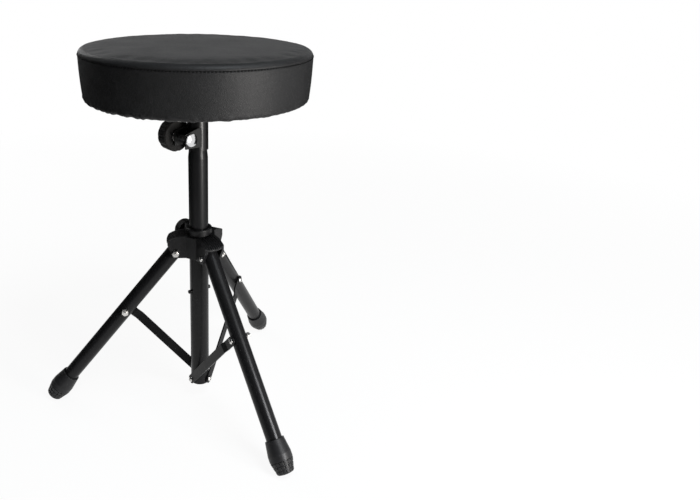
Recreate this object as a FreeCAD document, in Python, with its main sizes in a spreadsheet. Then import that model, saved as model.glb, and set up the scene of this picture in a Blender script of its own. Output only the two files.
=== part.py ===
import FreeCAD, Part
import math
import os
import re
import Sketcher

# A folding drum stool: a padded round seat clamped on a centre post, and a hub that slides on the post and
# carries three hinged legs, each tied by a flat brace to the post's lower end.
# The origin is on the floor under the post's axis, +Z is up, and all lengths are in millimetres.

SIZES = {
    # Centre post, with a drawn-in neck for the seat's socket
    "post_diameter": 25.0,
    "post_wall": 1.5,
    "post_length": 398.5,
    "post_end_height": 21.0,
    "neck_draw": 1.1,
    "neck_taper": 10.5,
    "plug_cap": 3.0,
    "plug_depth": 12.0,
    "stop_pin_diameter": 5.0,
    "stop_pin_wall": 1.0,
    "stop_pin_reach": 3.5,
    "stop_pin_height": 163.5,
    "stop_pin_azimuth": 30.0,
    # Folding linkage: the legs' lean from the vertical and the distances between pivots
    "leg_spread": 38.5,
    "pivot_gap": 1.4,
    "brace_point": 110.0,
    "brace_length": 148.0,
    "post_screw_rise": 5.5,
    # Legs and feet
    "leg_diameter": 20.0,
    "leg_wall": 1.4,
    "leg_overrun": 7.5,
    "foot_length": 41.0,
    "foot_floor": 10.0,
    "foot_tip_step": 0.8,
    "foot_band_wall": 4.6,
    "foot_collar_wall": 2.0,
    "foot_tread_length": 15.5,
    "foot_band_length": 8.0,
    "foot_chamfer": 1.2,
    "foot_dome_radius": 32.0,
    "foot_flat": 0.8,
    "tread_groove": 1.3,
    "tread_depth": 1.2,
    "tread_slots": 16,
    # Braces, flat strips with a joggle beside the leg
    "brace_width": 12.0,
    "brace_thickness": 2.0,
    "joggle_start": 24.0,
    "joggle_run": 8.0,
    # Cross-head bolts and lock nuts of the linkage
    "bolt_diameter": 4.8,
    "bolt_head_overhang": 1.2,
    "bolt_head_height": 2.6,
    "bolt_head_edge": 1.0,
    "bolt_recess_width": 4.0,
    "bolt_recess_slot": 1.1,
    "bolt_recess_depth": 1.5,
    "bolt_end_reach": 1.2,
    "nut_wall": 1.6,
    "nut_height": 3.8,
    "nut_collar_height": 1.2,
    "weld_nut_height": 3.2,
    # Hub moulding, measured from the level of the leg pivots
    "hub_bore_gap": 0.6,
    "hub_core_wall": 3.0,
    "hub_skirt": 7.0,
    "collar_wall": 4.2,
    "collar_top": 32.0,
    "collar_height": 8.0,
    "collar_edge": 1.6,
    "arm_wall": 3.5,
    "arm_side_gap": 0.5,
    "arm_nose": 12.0,
    "arm_end_trim": 1.0,
    "arm_end_rise": 14.0,
    "arm_root_rise": 23.0,
    "arm_top_radius": 40.0,
    "arm_roof": 3.0,
    "arm_toe_reach": 3.3,
    "arm_cheek_reach": 5.4,
    "rib_count": 8,
    "rib_pitch": 3.0,
    "rib_groove": 1.6,
    "rib_depth": 1.1,
    "web_depth": 4.5,
    "web_top": 22.5,
    # Hub clamp: nut block, square nut, screw and domed knob
    "block_wall": 3.0,
    "block_front": 2.1,
    "block_above": 16.0,
    "block_below": 10.0,
    "clamp_nut_across": 13.0,
    "clamp_nut_thickness": 3.5,
    "clamp_nut_cover": 1.5,
    "hub_screw_diameter": 8.0,
    "hub_knob_rise": 15.8,
    "hub_knob_diameter": 27.0,
    "hub_knob_neck": 15.0,
    "hub_knob_neck_length": 7.8,
    "hub_knob_skirt": 11.0,
    "hub_knob_dome": 6.5,
    "hub_knob_stand_off": 1.2,
    "hub_knob_wall": 3.0,
    "knurl_count": 36,
    "knurl_width": 1.0,
    "knurl_depth": 0.5,
    # Seat socket, clamp ears, bolt and scalloped knob
    "sleeve_wall": 1.6,
    "sleeve_length": 62.5,
    "slit_width": 4.0,
    "slit_length": 40.0,
    "clamp_azimuth": 217.0,
    "clamp_rise": 16.6,
    "ear_inset": 2.7,
    "ear_thickness": 2.2,
    "ear_end": 7.5,
    "ear_below": 11.0,
    "ear_end_above": 7.5,
    "ear_root_above": 13.0,
    "ear_shoulder": 4.1,
    "clamp_bolt_stand_off": 6.9,
    "clamp_bolt_diameter": 8.0,
    "clamp_head_diameter": 16.2,
    "clamp_head_height": 3.8,
    "clamp_head_edge": 2.2,
    "washer_diameter": 18.0,
    "washer_thickness": 1.2,
    "clamp_knob_diameter": 41.0,
    "clamp_knob_height": 16.0,
    "clamp_knob_chamfer": 2.0,
    "scallop_count": 12,
    "scallop_radius": 5.0,
    "scallop_depth": 0.9,
    "insert_diameter": 13.0,
    "clamp_knob_wall": 5.0,
    # Seat plate, board, foam and cover
    "plate_width": 120.0,
    "plate_corner": 14.0,
    "plate_thickness": 2.5,
    "plate_hole_inset": 15.0,
    "plate_screw_diameter": 6.0,
    "plate_screw_head": 12.0,
    "plate_screw_head_height": 3.2,
    "tee_flange_diameter": 19.0,
    "tee_flange_height": 1.3,
    "tee_barrel_diameter": 8.0,
    "tee_bottom_gap": 1.7,
    "board_thickness": 12.0,
    "cloth_thickness": 0.8,
    "cloth_inset": 1.0,
    "cover_thickness": 1.2,
    "cover_lip": 13.0,
    "seat_diameter": 280.0,
    "seat_draw_in": 3.0,
    "seat_edge_radius": 5.0,
    "seat_side_height": 53.0,
    "seat_side_bow": 420.0,
    "seam_depth": 1.6,
    "seam_width": 2.4,
    "seat_roll_height": 9.5,
    "seat_roll_radius": 4.5,
    "seat_crown": 3.0,
    "staple_count": 24,
    "staple_width": 10.0,
    "staple_wire": 0.8,
    "staple_leg": 6.0,
    # Clearances
    "running_gap": 0.05,
    "side_gap": 0.1,
    "open_pivot_gap": 0.8,
    "soft_gap": 0.2,
    "seat_gap": 0.3,
}

LEG_AZIMUTHS = (180.0, 300.0, 60.0)
# The hub is drawn with an arm along X, which points along the second leg.
HUB_TURN = LEG_AZIMUTHS[1]
TREAD_ROWS = 3
UP = FreeCAD.Vector(0, 0, 1)
ALONG_X = FreeCAD.Vector(1, 0, 0)
ALONG_Y = FreeCAD.Vector(0, 1, 0)
NOWHERE = FreeCAD.Vector(0, 0, 0)
ZERO = 1e-7

doc = FreeCAD.newDocument("drum_stool")
sheet = doc.addObject("Spreadsheet::Sheet", "Sizes")
for row, (alias, value) in enumerate(SIZES.items(), start=1):
    sheet.set(f"A{row}", alias)
    sheet.set(f"B{row}", str(value))
    sheet.setAlias(f"B{row}", alias)
doc.recompute()

sub_parts = []
ALIAS = re.compile(r"\b(" + "|".join(SIZES) + r")\b")


# Reading the sheet and binding to it

def size(text):
    """The number that an expression over the sheet's cells gives."""
    found = sheet.evalExpression(str(text))
    return float(getattr(found, "Value", found))


def bind(thing, name, text):
    """Tie a property or a constraint to an expression over the sheet's cells."""
    thing.setExpression(name, ALIAS.sub(r"Sizes.\1", str(text)))


def turned(axis, degrees, at=NOWHERE):
    return FreeCAD.Placement(at, FreeCAD.Rotation(axis, degrees))


def moved(x=0.0, y=0.0, z=0.0):
    return FreeCAD.Placement(FreeCAD.Vector(x, y, z), FreeCAD.Rotation())


# Sketches

def sketch_on(body, plane, offset=None, turn=None):
    """A sketch on one of the body's own planes, lifted or turned about its upright axis."""
    sketch = body.newObject("Sketcher::SketchObject", f"{body.Name}_sketch")
    plane_feature = next(f for f in body.Origin.OriginFeatures if f.Role == plane)
    sketch.AttachmentSupport = [(plane_feature, "")]
    sketch.MapMode = "FlatFace"
    if turn is not None:
        sketch.AttachmentOffset = turned(ALONG_Y, size(turn))
    if offset is not None:
        bind(sketch, "AttachmentOffset.Base.z", offset)
    return sketch


def fix_point(sketch, geometry, point, x, y):
    """Hold a point of the sketch at a place given by two expressions."""
    for kind, axis, text in (("DistanceX", -2, x), ("DistanceY", -1, y)):
        value = size(text)
        if abs(value) < ZERO:
            sketch.addConstraint(Sketcher.Constraint("PointOnObject", geometry, point, axis))
        elif value > 0:
            index = sketch.addConstraint(Sketcher.Constraint(kind, -1, 1, geometry, point, value))
            bind(sketch, f"Constraints[{index}]", text)
        else:
            index = sketch.addConstraint(Sketcher.Constraint(kind, geometry, point, -1, 1, -value))
            bind(sketch, f"Constraints[{index}]", f"-({text})")


def arc_between(start, end, radius, side):
    """The short arc from start to end whose centre lies to the left or the right of the way there."""
    along = (end - start).normalize()
    left = FreeCAD.Vector(-along.y, along.x, 0) * (1 if side == "left" else -1)
    half = start.distanceToPoint(end) / 2
    centre = (start + end) / 2 + left * math.sqrt(radius ** 2 - half ** 2)
    ends = (start, end) if side == "left" else (end, start)
    angles = [math.atan2(p.y - centre.y, p.x - centre.x) for p in ends]
    return Part.ArcOfCircle(Part.Circle(centre, UP, radius), *angles)


def outline(sketch, corners):
    """A closed outline. A corner is (x, y), or (x, y, side, radius) where the edge after it is round."""
    points = [FreeCAD.Vector(size(c[0]), size(c[1]), 0) for c in corners]
    edges = []
    for place, corner in enumerate(corners):
        start = points[place]
        end = points[(place + 1) % len(points)]
        if len(corner) == 2:
            index = sketch.addGeometry(Part.LineSegment(start, end), False)
            edges.append((index, 1, 2))
            continue
        side, radius = corner[2:]
        index = sketch.addGeometry(arc_between(start, end, size(radius), side), False)
        edges.append((index, 1, 2) if side == "left" else (index, 2, 1))
        number = sketch.addConstraint(Sketcher.Constraint("Radius", index, size(radius)))
        bind(sketch, f"Constraints[{number}]", radius)
    for place, (index, first, last) in enumerate(edges):
        following, next_first, _ = edges[(place + 1) % len(edges)]
        sketch.addConstraint(Sketcher.Constraint("Coincident", index, last, following, next_first))
        fix_point(sketch, index, first, corners[place][0], corners[place][1])


def circle(sketch, x, y, diameter):
    centre = FreeCAD.Vector(size(x), size(y), 0)
    index = sketch.addGeometry(Part.Circle(centre, UP, size(diameter) / 2), False)
    number = sketch.addConstraint(Sketcher.Constraint("Diameter", index, size(diameter)))
    bind(sketch, f"Constraints[{number}]", diameter)
    fix_point(sketch, index, 3, x, y)


def rectangle(x_low, x_high, y_low, y_high):
    return [(x_low, y_low), (x_high, y_low), (x_high, y_high), (x_low, y_high)]


def hexagon(across):
    """A hexagon about the origin with two flats square to the second axis."""
    tip, side, flat = f"{across} / sqrt(3)", f"{across} / (2 * sqrt(3))", f"{across} / 2"
    corners = [(tip, "0"), (side, flat), (f"-{side}", flat)]
    return corners + [(f"-{tip}", "0"), (f"-{side}", f"-{flat}"), (side, f"-{flat}")]


# Features

def new_body(name):
    body = doc.addObject("PartDesign::Body", name)
    body.AllowCompound = True
    return body


def revolve(body, outlines, kind="Revolution"):
    """Turn outlines, drawn as radius and height, about the body's Z axis."""
    sketch = sketch_on(body, "XZ_Plane")
    for corners in outlines:
        outline(sketch, corners)
    feature = body.newObject(f"PartDesign::{kind}", f"{body.Name}_{kind.lower()}")
    feature.Profile = sketch
    feature.ReferenceAxis = (sketch, ["V_Axis"])
    feature.Angle = 360
    return feature


def push(body, kind, sketch, length, both_ways=False, reverse=False):
    """A pad or a pocket of a sketch over a length given by an expression."""
    feature = body.newObject(f"PartDesign::{kind}", f"{body.Name}_{kind.lower()}")
    feature.Profile = sketch
    bind(feature, "Length", length)
    feature.SideType = "Symmetric" if both_ways else "One side"
    feature.Reversed = reverse
    return feature


def cut_makes_smaller(body, feature):
    """A pocket that points away from the solid cuts nothing, so each one is measured."""
    doc.recompute()
    before = feature.BaseFeature.Shape.Volume
    if feature.Shape.Volume > before - ZERO:
        raise RuntimeError(f"{feature.Name} of {body.Name} cuts nothing")
    return feature


def pocket(body, sketch, length, both_ways=False, reverse=False):
    return cut_makes_smaller(body, push(body, "Pocket", sketch, length, both_ways, reverse))


def around(body, feature, count):
    """Repeat a feature evenly about the body's Z axis."""
    pattern = body.newObject("PartDesign::PolarPattern", f"{body.Name}_pattern")
    pattern.Originals = [feature]
    pattern.Axis = (next(f for f in body.Origin.OriginFeatures if f.Role == "Z_Axis"), [""])
    pattern.Angle = 360
    bind(pattern, "Occurrences", count)
    body.Tip = pattern
    doc.recompute()
    return pattern


def keep(thing, label, placement=None):
    """Name a finished sub-part, place it, and list it for writing."""
    thing.Label = label
    if placement is not None:
        thing.Placement = placement
    sub_parts.append(thing)
    return thing


def keep_group(label, members):
    group = doc.addObject("Part::Compound", label)
    group.Links = members
    return keep(group, label)


def turned_piece(label, corners, placement):
    body = new_body(label)
    revolve(body, [corners])
    return keep(body, label, placement)


# Sizes that follow from the sheet, as expressions over its cells

POST_RADIUS = "post_diameter / 2"
POST_BORE = "(post_diameter / 2 - post_wall)"
NECK_RADIUS = "(post_diameter / 2 - neck_draw)"
NECK_BORE = "(post_diameter / 2 - neck_draw - post_wall)"
NECK_LENGTH = "(sleeve_length - plug_cap + seat_gap)"
LEG_RADIUS = "leg_diameter / 2"
FOOT_TIP = "(leg_diameter / 2 + foot_tip_step)"
FOOT_BAND = "(leg_diameter / 2 + foot_band_wall)"
FOOT_COLLAR = "(leg_diameter / 2 + foot_collar_wall)"
BOLT_HOLE = "bolt_diameter + 2 * running_gap"
BOLT_HEAD = "(bolt_diameter + 2 * bolt_head_overhang)"
NUT_ACROSS = "(bolt_diameter + 2 * nut_wall)"

BORE_RADIUS = "(post_diameter / 2 + hub_bore_gap)"
CORE_RADIUS = "(post_diameter / 2 + hub_bore_gap + hub_core_wall)"
# The pivot stands off the hub's core by the corner of the leg's top end, which swings past the core.
PIVOT_RADIUS = f"({CORE_RADIUS} + sqrt(leg_overrun^2 + ({LEG_RADIUS})^2) + pivot_gap)"
ARM_INNER = "(leg_diameter + 2 * arm_side_gap)"
ARM_WIDTH = "(leg_diameter + 2 * arm_side_gap + 2 * arm_wall)"
ARM_REACH = f"({PIVOT_RADIUS} + arm_nose)"
# An arm is drawn a little long and then trimmed round at its reach from the axis.
ARM_END = f"({ARM_REACH} + arm_end_trim)"
# The outer faces of two neighbouring arms meet at this distance from the axis.
ARM_CROTCH = f"({ARM_WIDTH} / (2 * sin(60 deg)))"
WEB_DISTANCE = f"({ARM_CROTCH} + web_depth)"
NUT_PLACE = f"({BORE_RADIUS} + clamp_nut_cover)"
BLOCK_REACH = f"({NUT_PLACE} + clamp_nut_thickness + block_front)"
BLOCK_WIDTH = "(clamp_nut_across + 2 * block_wall)"
KNOB_PLACE = f"({WEB_DISTANCE} + hub_knob_stand_off)"
KNOB_RIM = "(hub_knob_neck_length + hub_knob_skirt)"
KNOB_HEIGHT = f"({KNOB_RIM} + hub_knob_dome)"
KNOB_GRIP = f"({KNOB_HEIGHT} - hub_knob_wall)"
BRACE_AT_POST = "(post_diameter / 2 + side_gap)"
BRACE_AT_LEG = "(leg_diameter / 2 + side_gap)"

SLEEVE_BORE = f"({NECK_RADIUS} + side_gap)"
SLEEVE_RADIUS = f"({SLEEVE_BORE} + sleeve_wall)"
CLAMP_LEVEL = "(clamp_rise - sleeve_length)"
CLAMP_BOLT_PLACE = f"({SLEEVE_RADIUS} + clamp_bolt_stand_off)"
EAR_INNER = f"({SLEEVE_RADIUS} - ear_inset)"
EAR_FACE = f"({EAR_INNER} + ear_thickness)"
EAR_REACH = f"({CLAMP_BOLT_PLACE} + ear_end)"
INSERT_HEIGHT = "(clamp_knob_height - clamp_knob_wall)"

# Levels of the seat above the underside of its plate, and its radii
BOARD_BOTTOM = "(plate_thickness + cloth_thickness)"
BOARD_TOP = f"({BOARD_BOTTOM} + board_thickness)"
COVER_BOTTOM = f"({BOARD_BOTTOM} - cover_thickness)"
SEAM_LEVEL = f"({COVER_BOTTOM} + seat_side_height)"
ROLL_LEVEL = f"({SEAM_LEVEL} + seat_roll_height)"
SEAT_FOOT = "(seat_diameter / 2 - seat_draw_in)"
BOARD_RADIUS = f"({SEAT_FOOT} - seat_edge_radius - soft_gap)"
LIP_RADIUS = f"({BOARD_RADIUS} - cover_lip)"
PLATE_HOLE = "(plate_width / 2 - plate_hole_inset)"
TEE_BARREL_LENGTH = "(board_thickness - tee_flange_height - tee_bottom_gap)"

# Lengths and angles of the linkage, worked out from the sheet

SPREAD = math.radians(size("leg_spread"))
BRACE_FOOT = size(PIVOT_RADIUS) + size("brace_point") * math.sin(SPREAD)
BRACE_LEAN = math.asin(BRACE_FOOT / size("brace_length"))
SCREW_HEIGHT = size("post_end_height + post_screw_rise")
PIVOT_HEIGHT = (SCREW_HEIGHT + size("brace_point") * math.cos(SPREAD)
                + size("brace_length") * math.cos(BRACE_LEAN))
# The foot's tip is a disc square to the leg: its inner edge meets the floor and is worn flat by foot_flat.
TIP_EDGE = size(f"{FOOT_TIP} - foot_chamfer")
LEG_REACH = (PIVOT_HEIGHT - TIP_EDGE * math.sin(SPREAD) + size("foot_flat")) / math.cos(SPREAD)
SEAT_BASE = size("post_end_height + post_length + plug_cap")


def leg_place(azimuth):
    """The leg's own frame: origin at its pivot, Z up along the leg, X outwards, Y to its left."""
    lean = turned(ALONG_Y, -size("leg_spread"))
    return turned(UP, azimuth) * moved(size(PIVOT_RADIUS), 0, PIVOT_HEIGHT) * lean


def brace_place(azimuth):
    """The brace's own frame: origin at its lower pivot, Z up along the brace."""
    return turned(UP, azimuth) * moved(0, 0, SCREW_HEIGHT) * turned(ALONG_Y, math.degrees(BRACE_LEAN))


HUB_PLACE = turned(UP, HUB_TURN, FreeCAD.Vector(0, 0, PIVOT_HEIGHT))
POST_PLACE = turned(UP, LEG_AZIMUTHS[0], FreeCAD.Vector(0, 0, size("post_end_height")))
SEAT_PLACE = moved(0, 0, SEAT_BASE)
CLAMP_PLACE = SEAT_PLACE * turned(UP, size("clamp_azimuth"))
# Turns a piece drawn along Z so that its +Z points to the right of its leg, arm or ear, along -Y.
TO_RIGHT = turned(ALONG_X, 90.0)
TO_LEFT = turned(ALONG_X, -90.0)


# Fasteners

def domed_head(head, edge, height):
    """The radius of a dome of a given rim, drawn from the edge's height up to the head's full height."""
    rise = f"({height} - {edge})"
    return f"(({head} / 2)^2 + {rise}^2) / (2 * {rise})"


def cross_bolt(name, length, placement, head=BOLT_HEAD, height="bolt_head_height", shank="bolt_diameter"):
    """A cross-head bolt along Z: the head's underside at zero, the shank below it."""
    body = new_body(name)
    profile = [("0", f"-({length})"), (f"{shank} / 2", f"-({length})"), (f"{shank} / 2", "0"),
               (f"{head} / 2", "0"),
               (f"{head} / 2", "bolt_head_edge", "left", domed_head(head, "bolt_head_edge", height)),
               ("0", height)]
    revolve(body, [profile])
    doc.recompute()
    sketch = sketch_on(body, "XY_Plane", offset=height)
    arm, slot = "bolt_recess_width / 2", "bolt_recess_slot / 2"
    outline(sketch, [(arm, f"-{slot}"), (arm, slot), (slot, slot), (slot, arm), (f"-{slot}", arm),
                     (f"-{slot}", slot), (f"-{arm}", slot), (f"-{arm}", f"-{slot}"),
                     (f"-{slot}", f"-{slot}"), (f"-{slot}", f"-{arm}"), (slot, f"-{arm}"),
                     (slot, f"-{slot}")])
    pocket(body, sketch, "bolt_recess_depth")
    body.Placement = placement
    return body


def lock_nut(name, placement, collar="nut_collar_height", height="nut_height"):
    """A hexagon nut along Z with a round collar over it, its seat at zero."""
    body = new_body(name)
    sketch = sketch_on(body, "XY_Plane")
    outline(sketch, hexagon(NUT_ACROSS))
    push(body, "Pad", sketch, height)
    doc.recompute()
    ring = f"{NUT_ACROSS} / 2 - nut_wall / 4"
    revolve(body, [rectangle("0", ring, f"{height} / 2", f"{height} + {collar}")])
    doc.recompute()
    hole = sketch_on(body, "XY_Plane")
    circle(hole, "0", "0", BOLT_HOLE)
    pocket(body, hole, f"4 * ({height} + {collar})", both_ways=True)
    body.Placement = placement
    return body


# Centre post

def make_post():
    neck = f"(post_length - {NECK_LENGTH})"
    shoulder = f"({neck} - neck_taper)"
    body = new_body("post")
    revolve(body, [[(POST_BORE, "0"), (POST_RADIUS, "0"), (POST_RADIUS, shoulder), (NECK_RADIUS, neck),
                    (NECK_RADIUS, "post_length"), (NECK_BORE, "post_length"), (NECK_BORE, neck),
                    (POST_BORE, shoulder)]])
    doc.recompute()
    hole = sketch_on(body, "XZ_Plane")
    circle(hole, "0", "post_screw_rise", BOLT_HOLE)
    around(body, pocket(body, hole, "post_diameter", reverse=True), "3")
    pin_hole = sketch_on(body, "XZ_Plane", turn="90 + stop_pin_azimuth")
    circle(pin_hole, "0", "stop_pin_height - post_end_height", "stop_pin_diameter + 2 * running_gap")
    pocket(body, pin_hole, "2 * post_diameter", both_ways=True)
    keep(body, "centre_post", POST_PLACE)


def make_stop_pin():
    """A rolled spring pin, slit along one side, through the post below the hub."""
    half = f"({POST_RADIUS} + stop_pin_reach)"
    outer = "stop_pin_diameter / 2"
    body = new_body("stop_pin")
    revolve(body, [rectangle("stop_pin_diameter / 2 - stop_pin_wall", outer, f"-{half}", half)])
    doc.recompute()
    slit = sketch_on(body, "XZ_Plane")
    outline(slit, rectangle("0", "stop_pin_diameter", f"-2 * {half}", f"2 * {half}"))
    pocket(body, slit, "stop_pin_wall", both_ways=True)
    across = turned(UP, LEG_AZIMUTHS[0] + size("stop_pin_azimuth")) * turned(ALONG_Y, 90.0)
    keep(body, "stop_pin", moved(0, 0, size("stop_pin_height")) * across)


def make_plug():
    stem = f"{NECK_BORE} - running_gap"
    turned_piece("post_top_plug", [("0", "-plug_depth"), (stem, "-plug_depth"), (stem, "0"),
                                   (NECK_RADIUS, "0"), (NECK_RADIUS, "plug_cap"), ("0", "plug_cap")],
                 moved(0, 0, SEAT_BASE - size("plug_cap")))


def make_post_fasteners():
    """The three screws at the post's lower end, each in a weld nut against the tube's inner wall."""
    nut_seat = f"sqrt({POST_BORE}^2 - ({NUT_ACROSS} / sqrt(3))^2)"
    head_seat = f"{BRACE_AT_POST} + brace_thickness + side_gap"
    length = f"{head_seat} - {nut_seat} + weld_nut_height"
    screws = []
    nuts = []
    for number, azimuth in enumerate(LEG_AZIMUTHS, start=1):
        outwards = turned(UP, azimuth) * moved(0, 0, SCREW_HEIGHT) * TO_RIGHT
        screws.append(cross_bolt(f"post_screw_{number}", length, outwards * moved(0, 0, size(head_seat))))
        nut = new_body(f"weld_nut_{number}")
        sketch = sketch_on(nut, "XY_Plane")
        outline(sketch, hexagon(NUT_ACROSS))
        circle(sketch, "0", "0", BOLT_HOLE)
        push(nut, "Pad", sketch, "weld_nut_height", reverse=True)
        nut.Placement = outwards * moved(0, 0, size(nut_seat))
        nuts.append(nut)
    keep_group("post_screws", screws)
    keep_group("post_weld_nuts", nuts)


# Hub

def make_hub():
    """The moulding: a core round the post, three ribbed channels, webs between them and a nut block."""
    below = "-hub_skirt"
    beyond = f"2 * {ARM_REACH}"
    body = new_body("hub")
    arm = sketch_on(body, "XZ_Plane")
    outline(arm, [("0", below), (f"{PIVOT_RADIUS} + arm_toe_reach", below),
                  (f"{PIVOT_RADIUS} + arm_cheek_reach", "0"),
                  (ARM_END, "arm_end_rise", "left", "arm_top_radius"),
                  (CORE_RADIUS, "arm_root_rise"), ("0", "arm_root_rise")])
    around(body, push(body, "Pad", arm, ARM_WIDTH, both_ways=True), "3")

    for rib in range(1, round(size("rib_count"))):
        groove = sketch_on(body, "XZ_Plane", offset=f"rib_pitch * ({rib} - rib_count / 2)")
        outline(groove, [(CORE_RADIUS, "arm_root_rise - rib_depth", "right", "arm_top_radius"),
                         (ARM_END, "arm_end_rise - rib_depth"),
                         (beyond, "arm_end_rise - rib_depth"),
                         (beyond, "2 * arm_root_rise"), (CORE_RADIUS, "2 * arm_root_rise")])
        around(body, pocket(body, groove, "rib_groove", both_ways=True), "3")
    round_end = rectangle(ARM_REACH, beyond, "-2 * hub_skirt", "2 * arm_root_rise")
    cut_makes_smaller(body, revolve(body, [round_end], "Groove"))

    revolve(body, [rectangle("0", CORE_RADIUS, below, "collar_top")])
    doc.recompute()
    collar, collar_foot = f"({BORE_RADIUS} + collar_wall)", "collar_top - collar_height"
    revolve(body, [[("0", collar_foot), (collar, collar_foot),
                    (collar, "collar_top - collar_edge", "left", "collar_edge"),
                    (f"{collar} - collar_edge", "collar_top"), ("0", "collar_top")]])
    doc.recompute()
    # Each web is a little wider than the gap between the arms, so that its edges end inside their walls.
    web_half = "(2 * web_depth * sin(60 deg) + arm_wall / 3)"
    web = sketch_on(body, "XZ_Plane")
    outline(web, rectangle(f"-{WEB_DISTANCE}", "0", below, "web_top"))
    around(body, push(body, "Pad", web, f"2 * {web_half}", both_ways=True), "3")
    block_top = "(hub_knob_rise + block_above)"
    block = sketch_on(body, "XZ_Plane")
    outline(block, rectangle(f"-{BLOCK_REACH}", "0", "hub_knob_rise - block_below", block_top))
    push(body, "Pad", block, BLOCK_WIDTH, both_ways=True)
    doc.recompute()

    channel = sketch_on(body, "XZ_Plane")
    outline(channel, [(CORE_RADIUS, "-2 * hub_skirt"),
                      (beyond, "-2 * hub_skirt"), (beyond, "arm_end_rise - arm_roof"),
                      (ARM_END, "arm_end_rise - arm_roof", "left", "arm_top_radius"),
                      (CORE_RADIUS, "arm_root_rise - arm_roof")])
    around(body, pocket(body, channel, ARM_INNER, both_ways=True), "3")
    bore = sketch_on(body, "XY_Plane")
    circle(bore, "0", "0", f"2 * {BORE_RADIUS}")
    pocket(body, bore, "4 * collar_top", both_ways=True)
    pivot_hole = sketch_on(body, "XZ_Plane")
    circle(pivot_hole, PIVOT_RADIUS, "0", BOLT_HOLE)
    around(body, pocket(body, pivot_hole, f"2 * {ARM_WIDTH}", both_ways=True), "3")

    slot = sketch_on(body, "XZ_Plane")
    outline(slot, rectangle(f"-{NUT_PLACE} - clamp_nut_thickness - side_gap", f"-{NUT_PLACE} + side_gap",
                            "hub_knob_rise - clamp_nut_across / 2 - side_gap", f"2 * {block_top}"))
    pocket(body, slot, "clamp_nut_across + 2 * side_gap", both_ways=True)
    screw_hole = sketch_on(body, "YZ_Plane")
    circle(screw_hole, "0", "hub_knob_rise", "hub_screw_diameter + 2 * side_gap")
    pocket(body, screw_hole, f"2 * {BLOCK_REACH}")
    keep(body, "hub_body", HUB_PLACE)


def knob_axis(reach):
    """A frame whose +Z points outwards along the hub knob's screw, at a distance from the post's axis."""
    return HUB_PLACE * moved(-reach, 0, size("hub_knob_rise")) * turned(ALONG_Y, -90.0)


def make_hub_fasteners():
    """Pivot bolts through the channels' cheeks, with lock nuts on the left, and the square clamp nut."""
    bolts = []
    nuts = []
    half = size(f"{ARM_WIDTH} / 2")
    length = f"{ARM_WIDTH} + nut_height + nut_collar_height + bolt_end_reach"
    for number, azimuth in enumerate(LEG_AZIMUTHS, start=1):
        pivot = turned(UP, azimuth) * moved(size(PIVOT_RADIUS), 0, PIVOT_HEIGHT)
        bolts.append(cross_bolt(f"pivot_bolt_{number}", length, pivot * TO_RIGHT * moved(0, 0, half)))
        nuts.append(lock_nut(f"pivot_nut_{number}", pivot * TO_LEFT * moved(0, 0, half)))
    keep_group("hub_pivot_bolts", bolts)
    keep_group("hub_pivot_nuts", nuts)
    nut = new_body("clamp_nut")
    sketch = sketch_on(nut, "XY_Plane")
    edge = "clamp_nut_across / 2"
    outline(sketch, rectangle(f"-{edge}", edge, f"-{edge}", edge))
    circle(sketch, "0", "0", "hub_screw_diameter + 2 * running_gap")
    push(nut, "Pad", sketch, "clamp_nut_thickness")
    keep(nut, "hub_captive_nut", knob_axis(size(NUT_PLACE)))


def make_hub_knob():
    rim = "hub_knob_diameter / 2"
    neck = "hub_knob_neck / 2"
    core = "hub_screw_diameter / 2"
    dome = domed_head("hub_knob_diameter", KNOB_RIM, KNOB_HEIGHT)
    cap = new_body("hub_knob")
    revolve(cap, [[(core, "0"), (neck, "0"), (neck, "hub_knob_neck_length"),
                   (rim, "hub_knob_neck_length"), (rim, KNOB_RIM, "left", dome),
                   ("0", KNOB_HEIGHT), ("0", KNOB_GRIP), (core, KNOB_GRIP)]])
    doc.recompute()
    knurl = sketch_on(cap, "XZ_Plane")
    outline(knurl, rectangle(f"{rim} - knurl_depth", f"2 * {rim}", "0", f"{KNOB_RIM} - knurl_width"))
    around(cap, pocket(cap, knurl, "knurl_width", both_ways=True), "knurl_count")
    keep(cap, "hub_knob_cap", knob_axis(size(KNOB_PLACE)))
    tip = size(f"{POST_RADIUS} + side_gap")
    tail = f"({KNOB_PLACE} + {KNOB_GRIP} - {POST_RADIUS} - side_gap)"
    turned_piece("hub_knob_screw", rectangle("0", core, "0", tail), knob_axis(tip))


# Legs and braces

def make_leg(number, azimuth):
    place = leg_place(azimuth)
    tube = new_body(f"leg_{number}")
    inner_end = f"-({LEG_REACH} - foot_floor)"
    revolve(tube, [rectangle("leg_diameter / 2 - leg_wall", LEG_RADIUS, inner_end, "leg_overrun")])
    doc.recompute()
    # The first leg carries the hub; the other two pivots are open and have room to follow it.
    hole_gap = "running_gap" if number == 1 else "open_pivot_gap"
    holes = sketch_on(tube, "XZ_Plane")
    circle(holes, "0", "0", f"bolt_diameter + 2 * {hole_gap}")
    circle(holes, "0", "-brace_point", BOLT_HOLE)
    pocket(tube, holes, "2 * leg_diameter", both_ways=True)
    keep(tube, f"leg_tube_{number}", place)

    bolt_at = place * moved(0, 0, -size("brace_point"))
    head_seat = f"({BRACE_AT_LEG} + brace_thickness + side_gap)"
    length = f"{head_seat} + {LEG_RADIUS} + side_gap + nut_height + nut_collar_height + bolt_end_reach"
    bolt = cross_bolt(f"bolt_{number}", length, bolt_at * TO_RIGHT * moved(0, 0, size(head_seat)))
    keep(bolt, f"brace_bolt_{number}")
    nut_seat = size(f"{LEG_RADIUS} + side_gap")
    keep(lock_nut(f"nut_{number}", bolt_at * TO_LEFT * moved(0, 0, nut_seat)), f"brace_nut_{number}")
    make_foot(number, place * moved(0, 0, -LEG_REACH))


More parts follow.
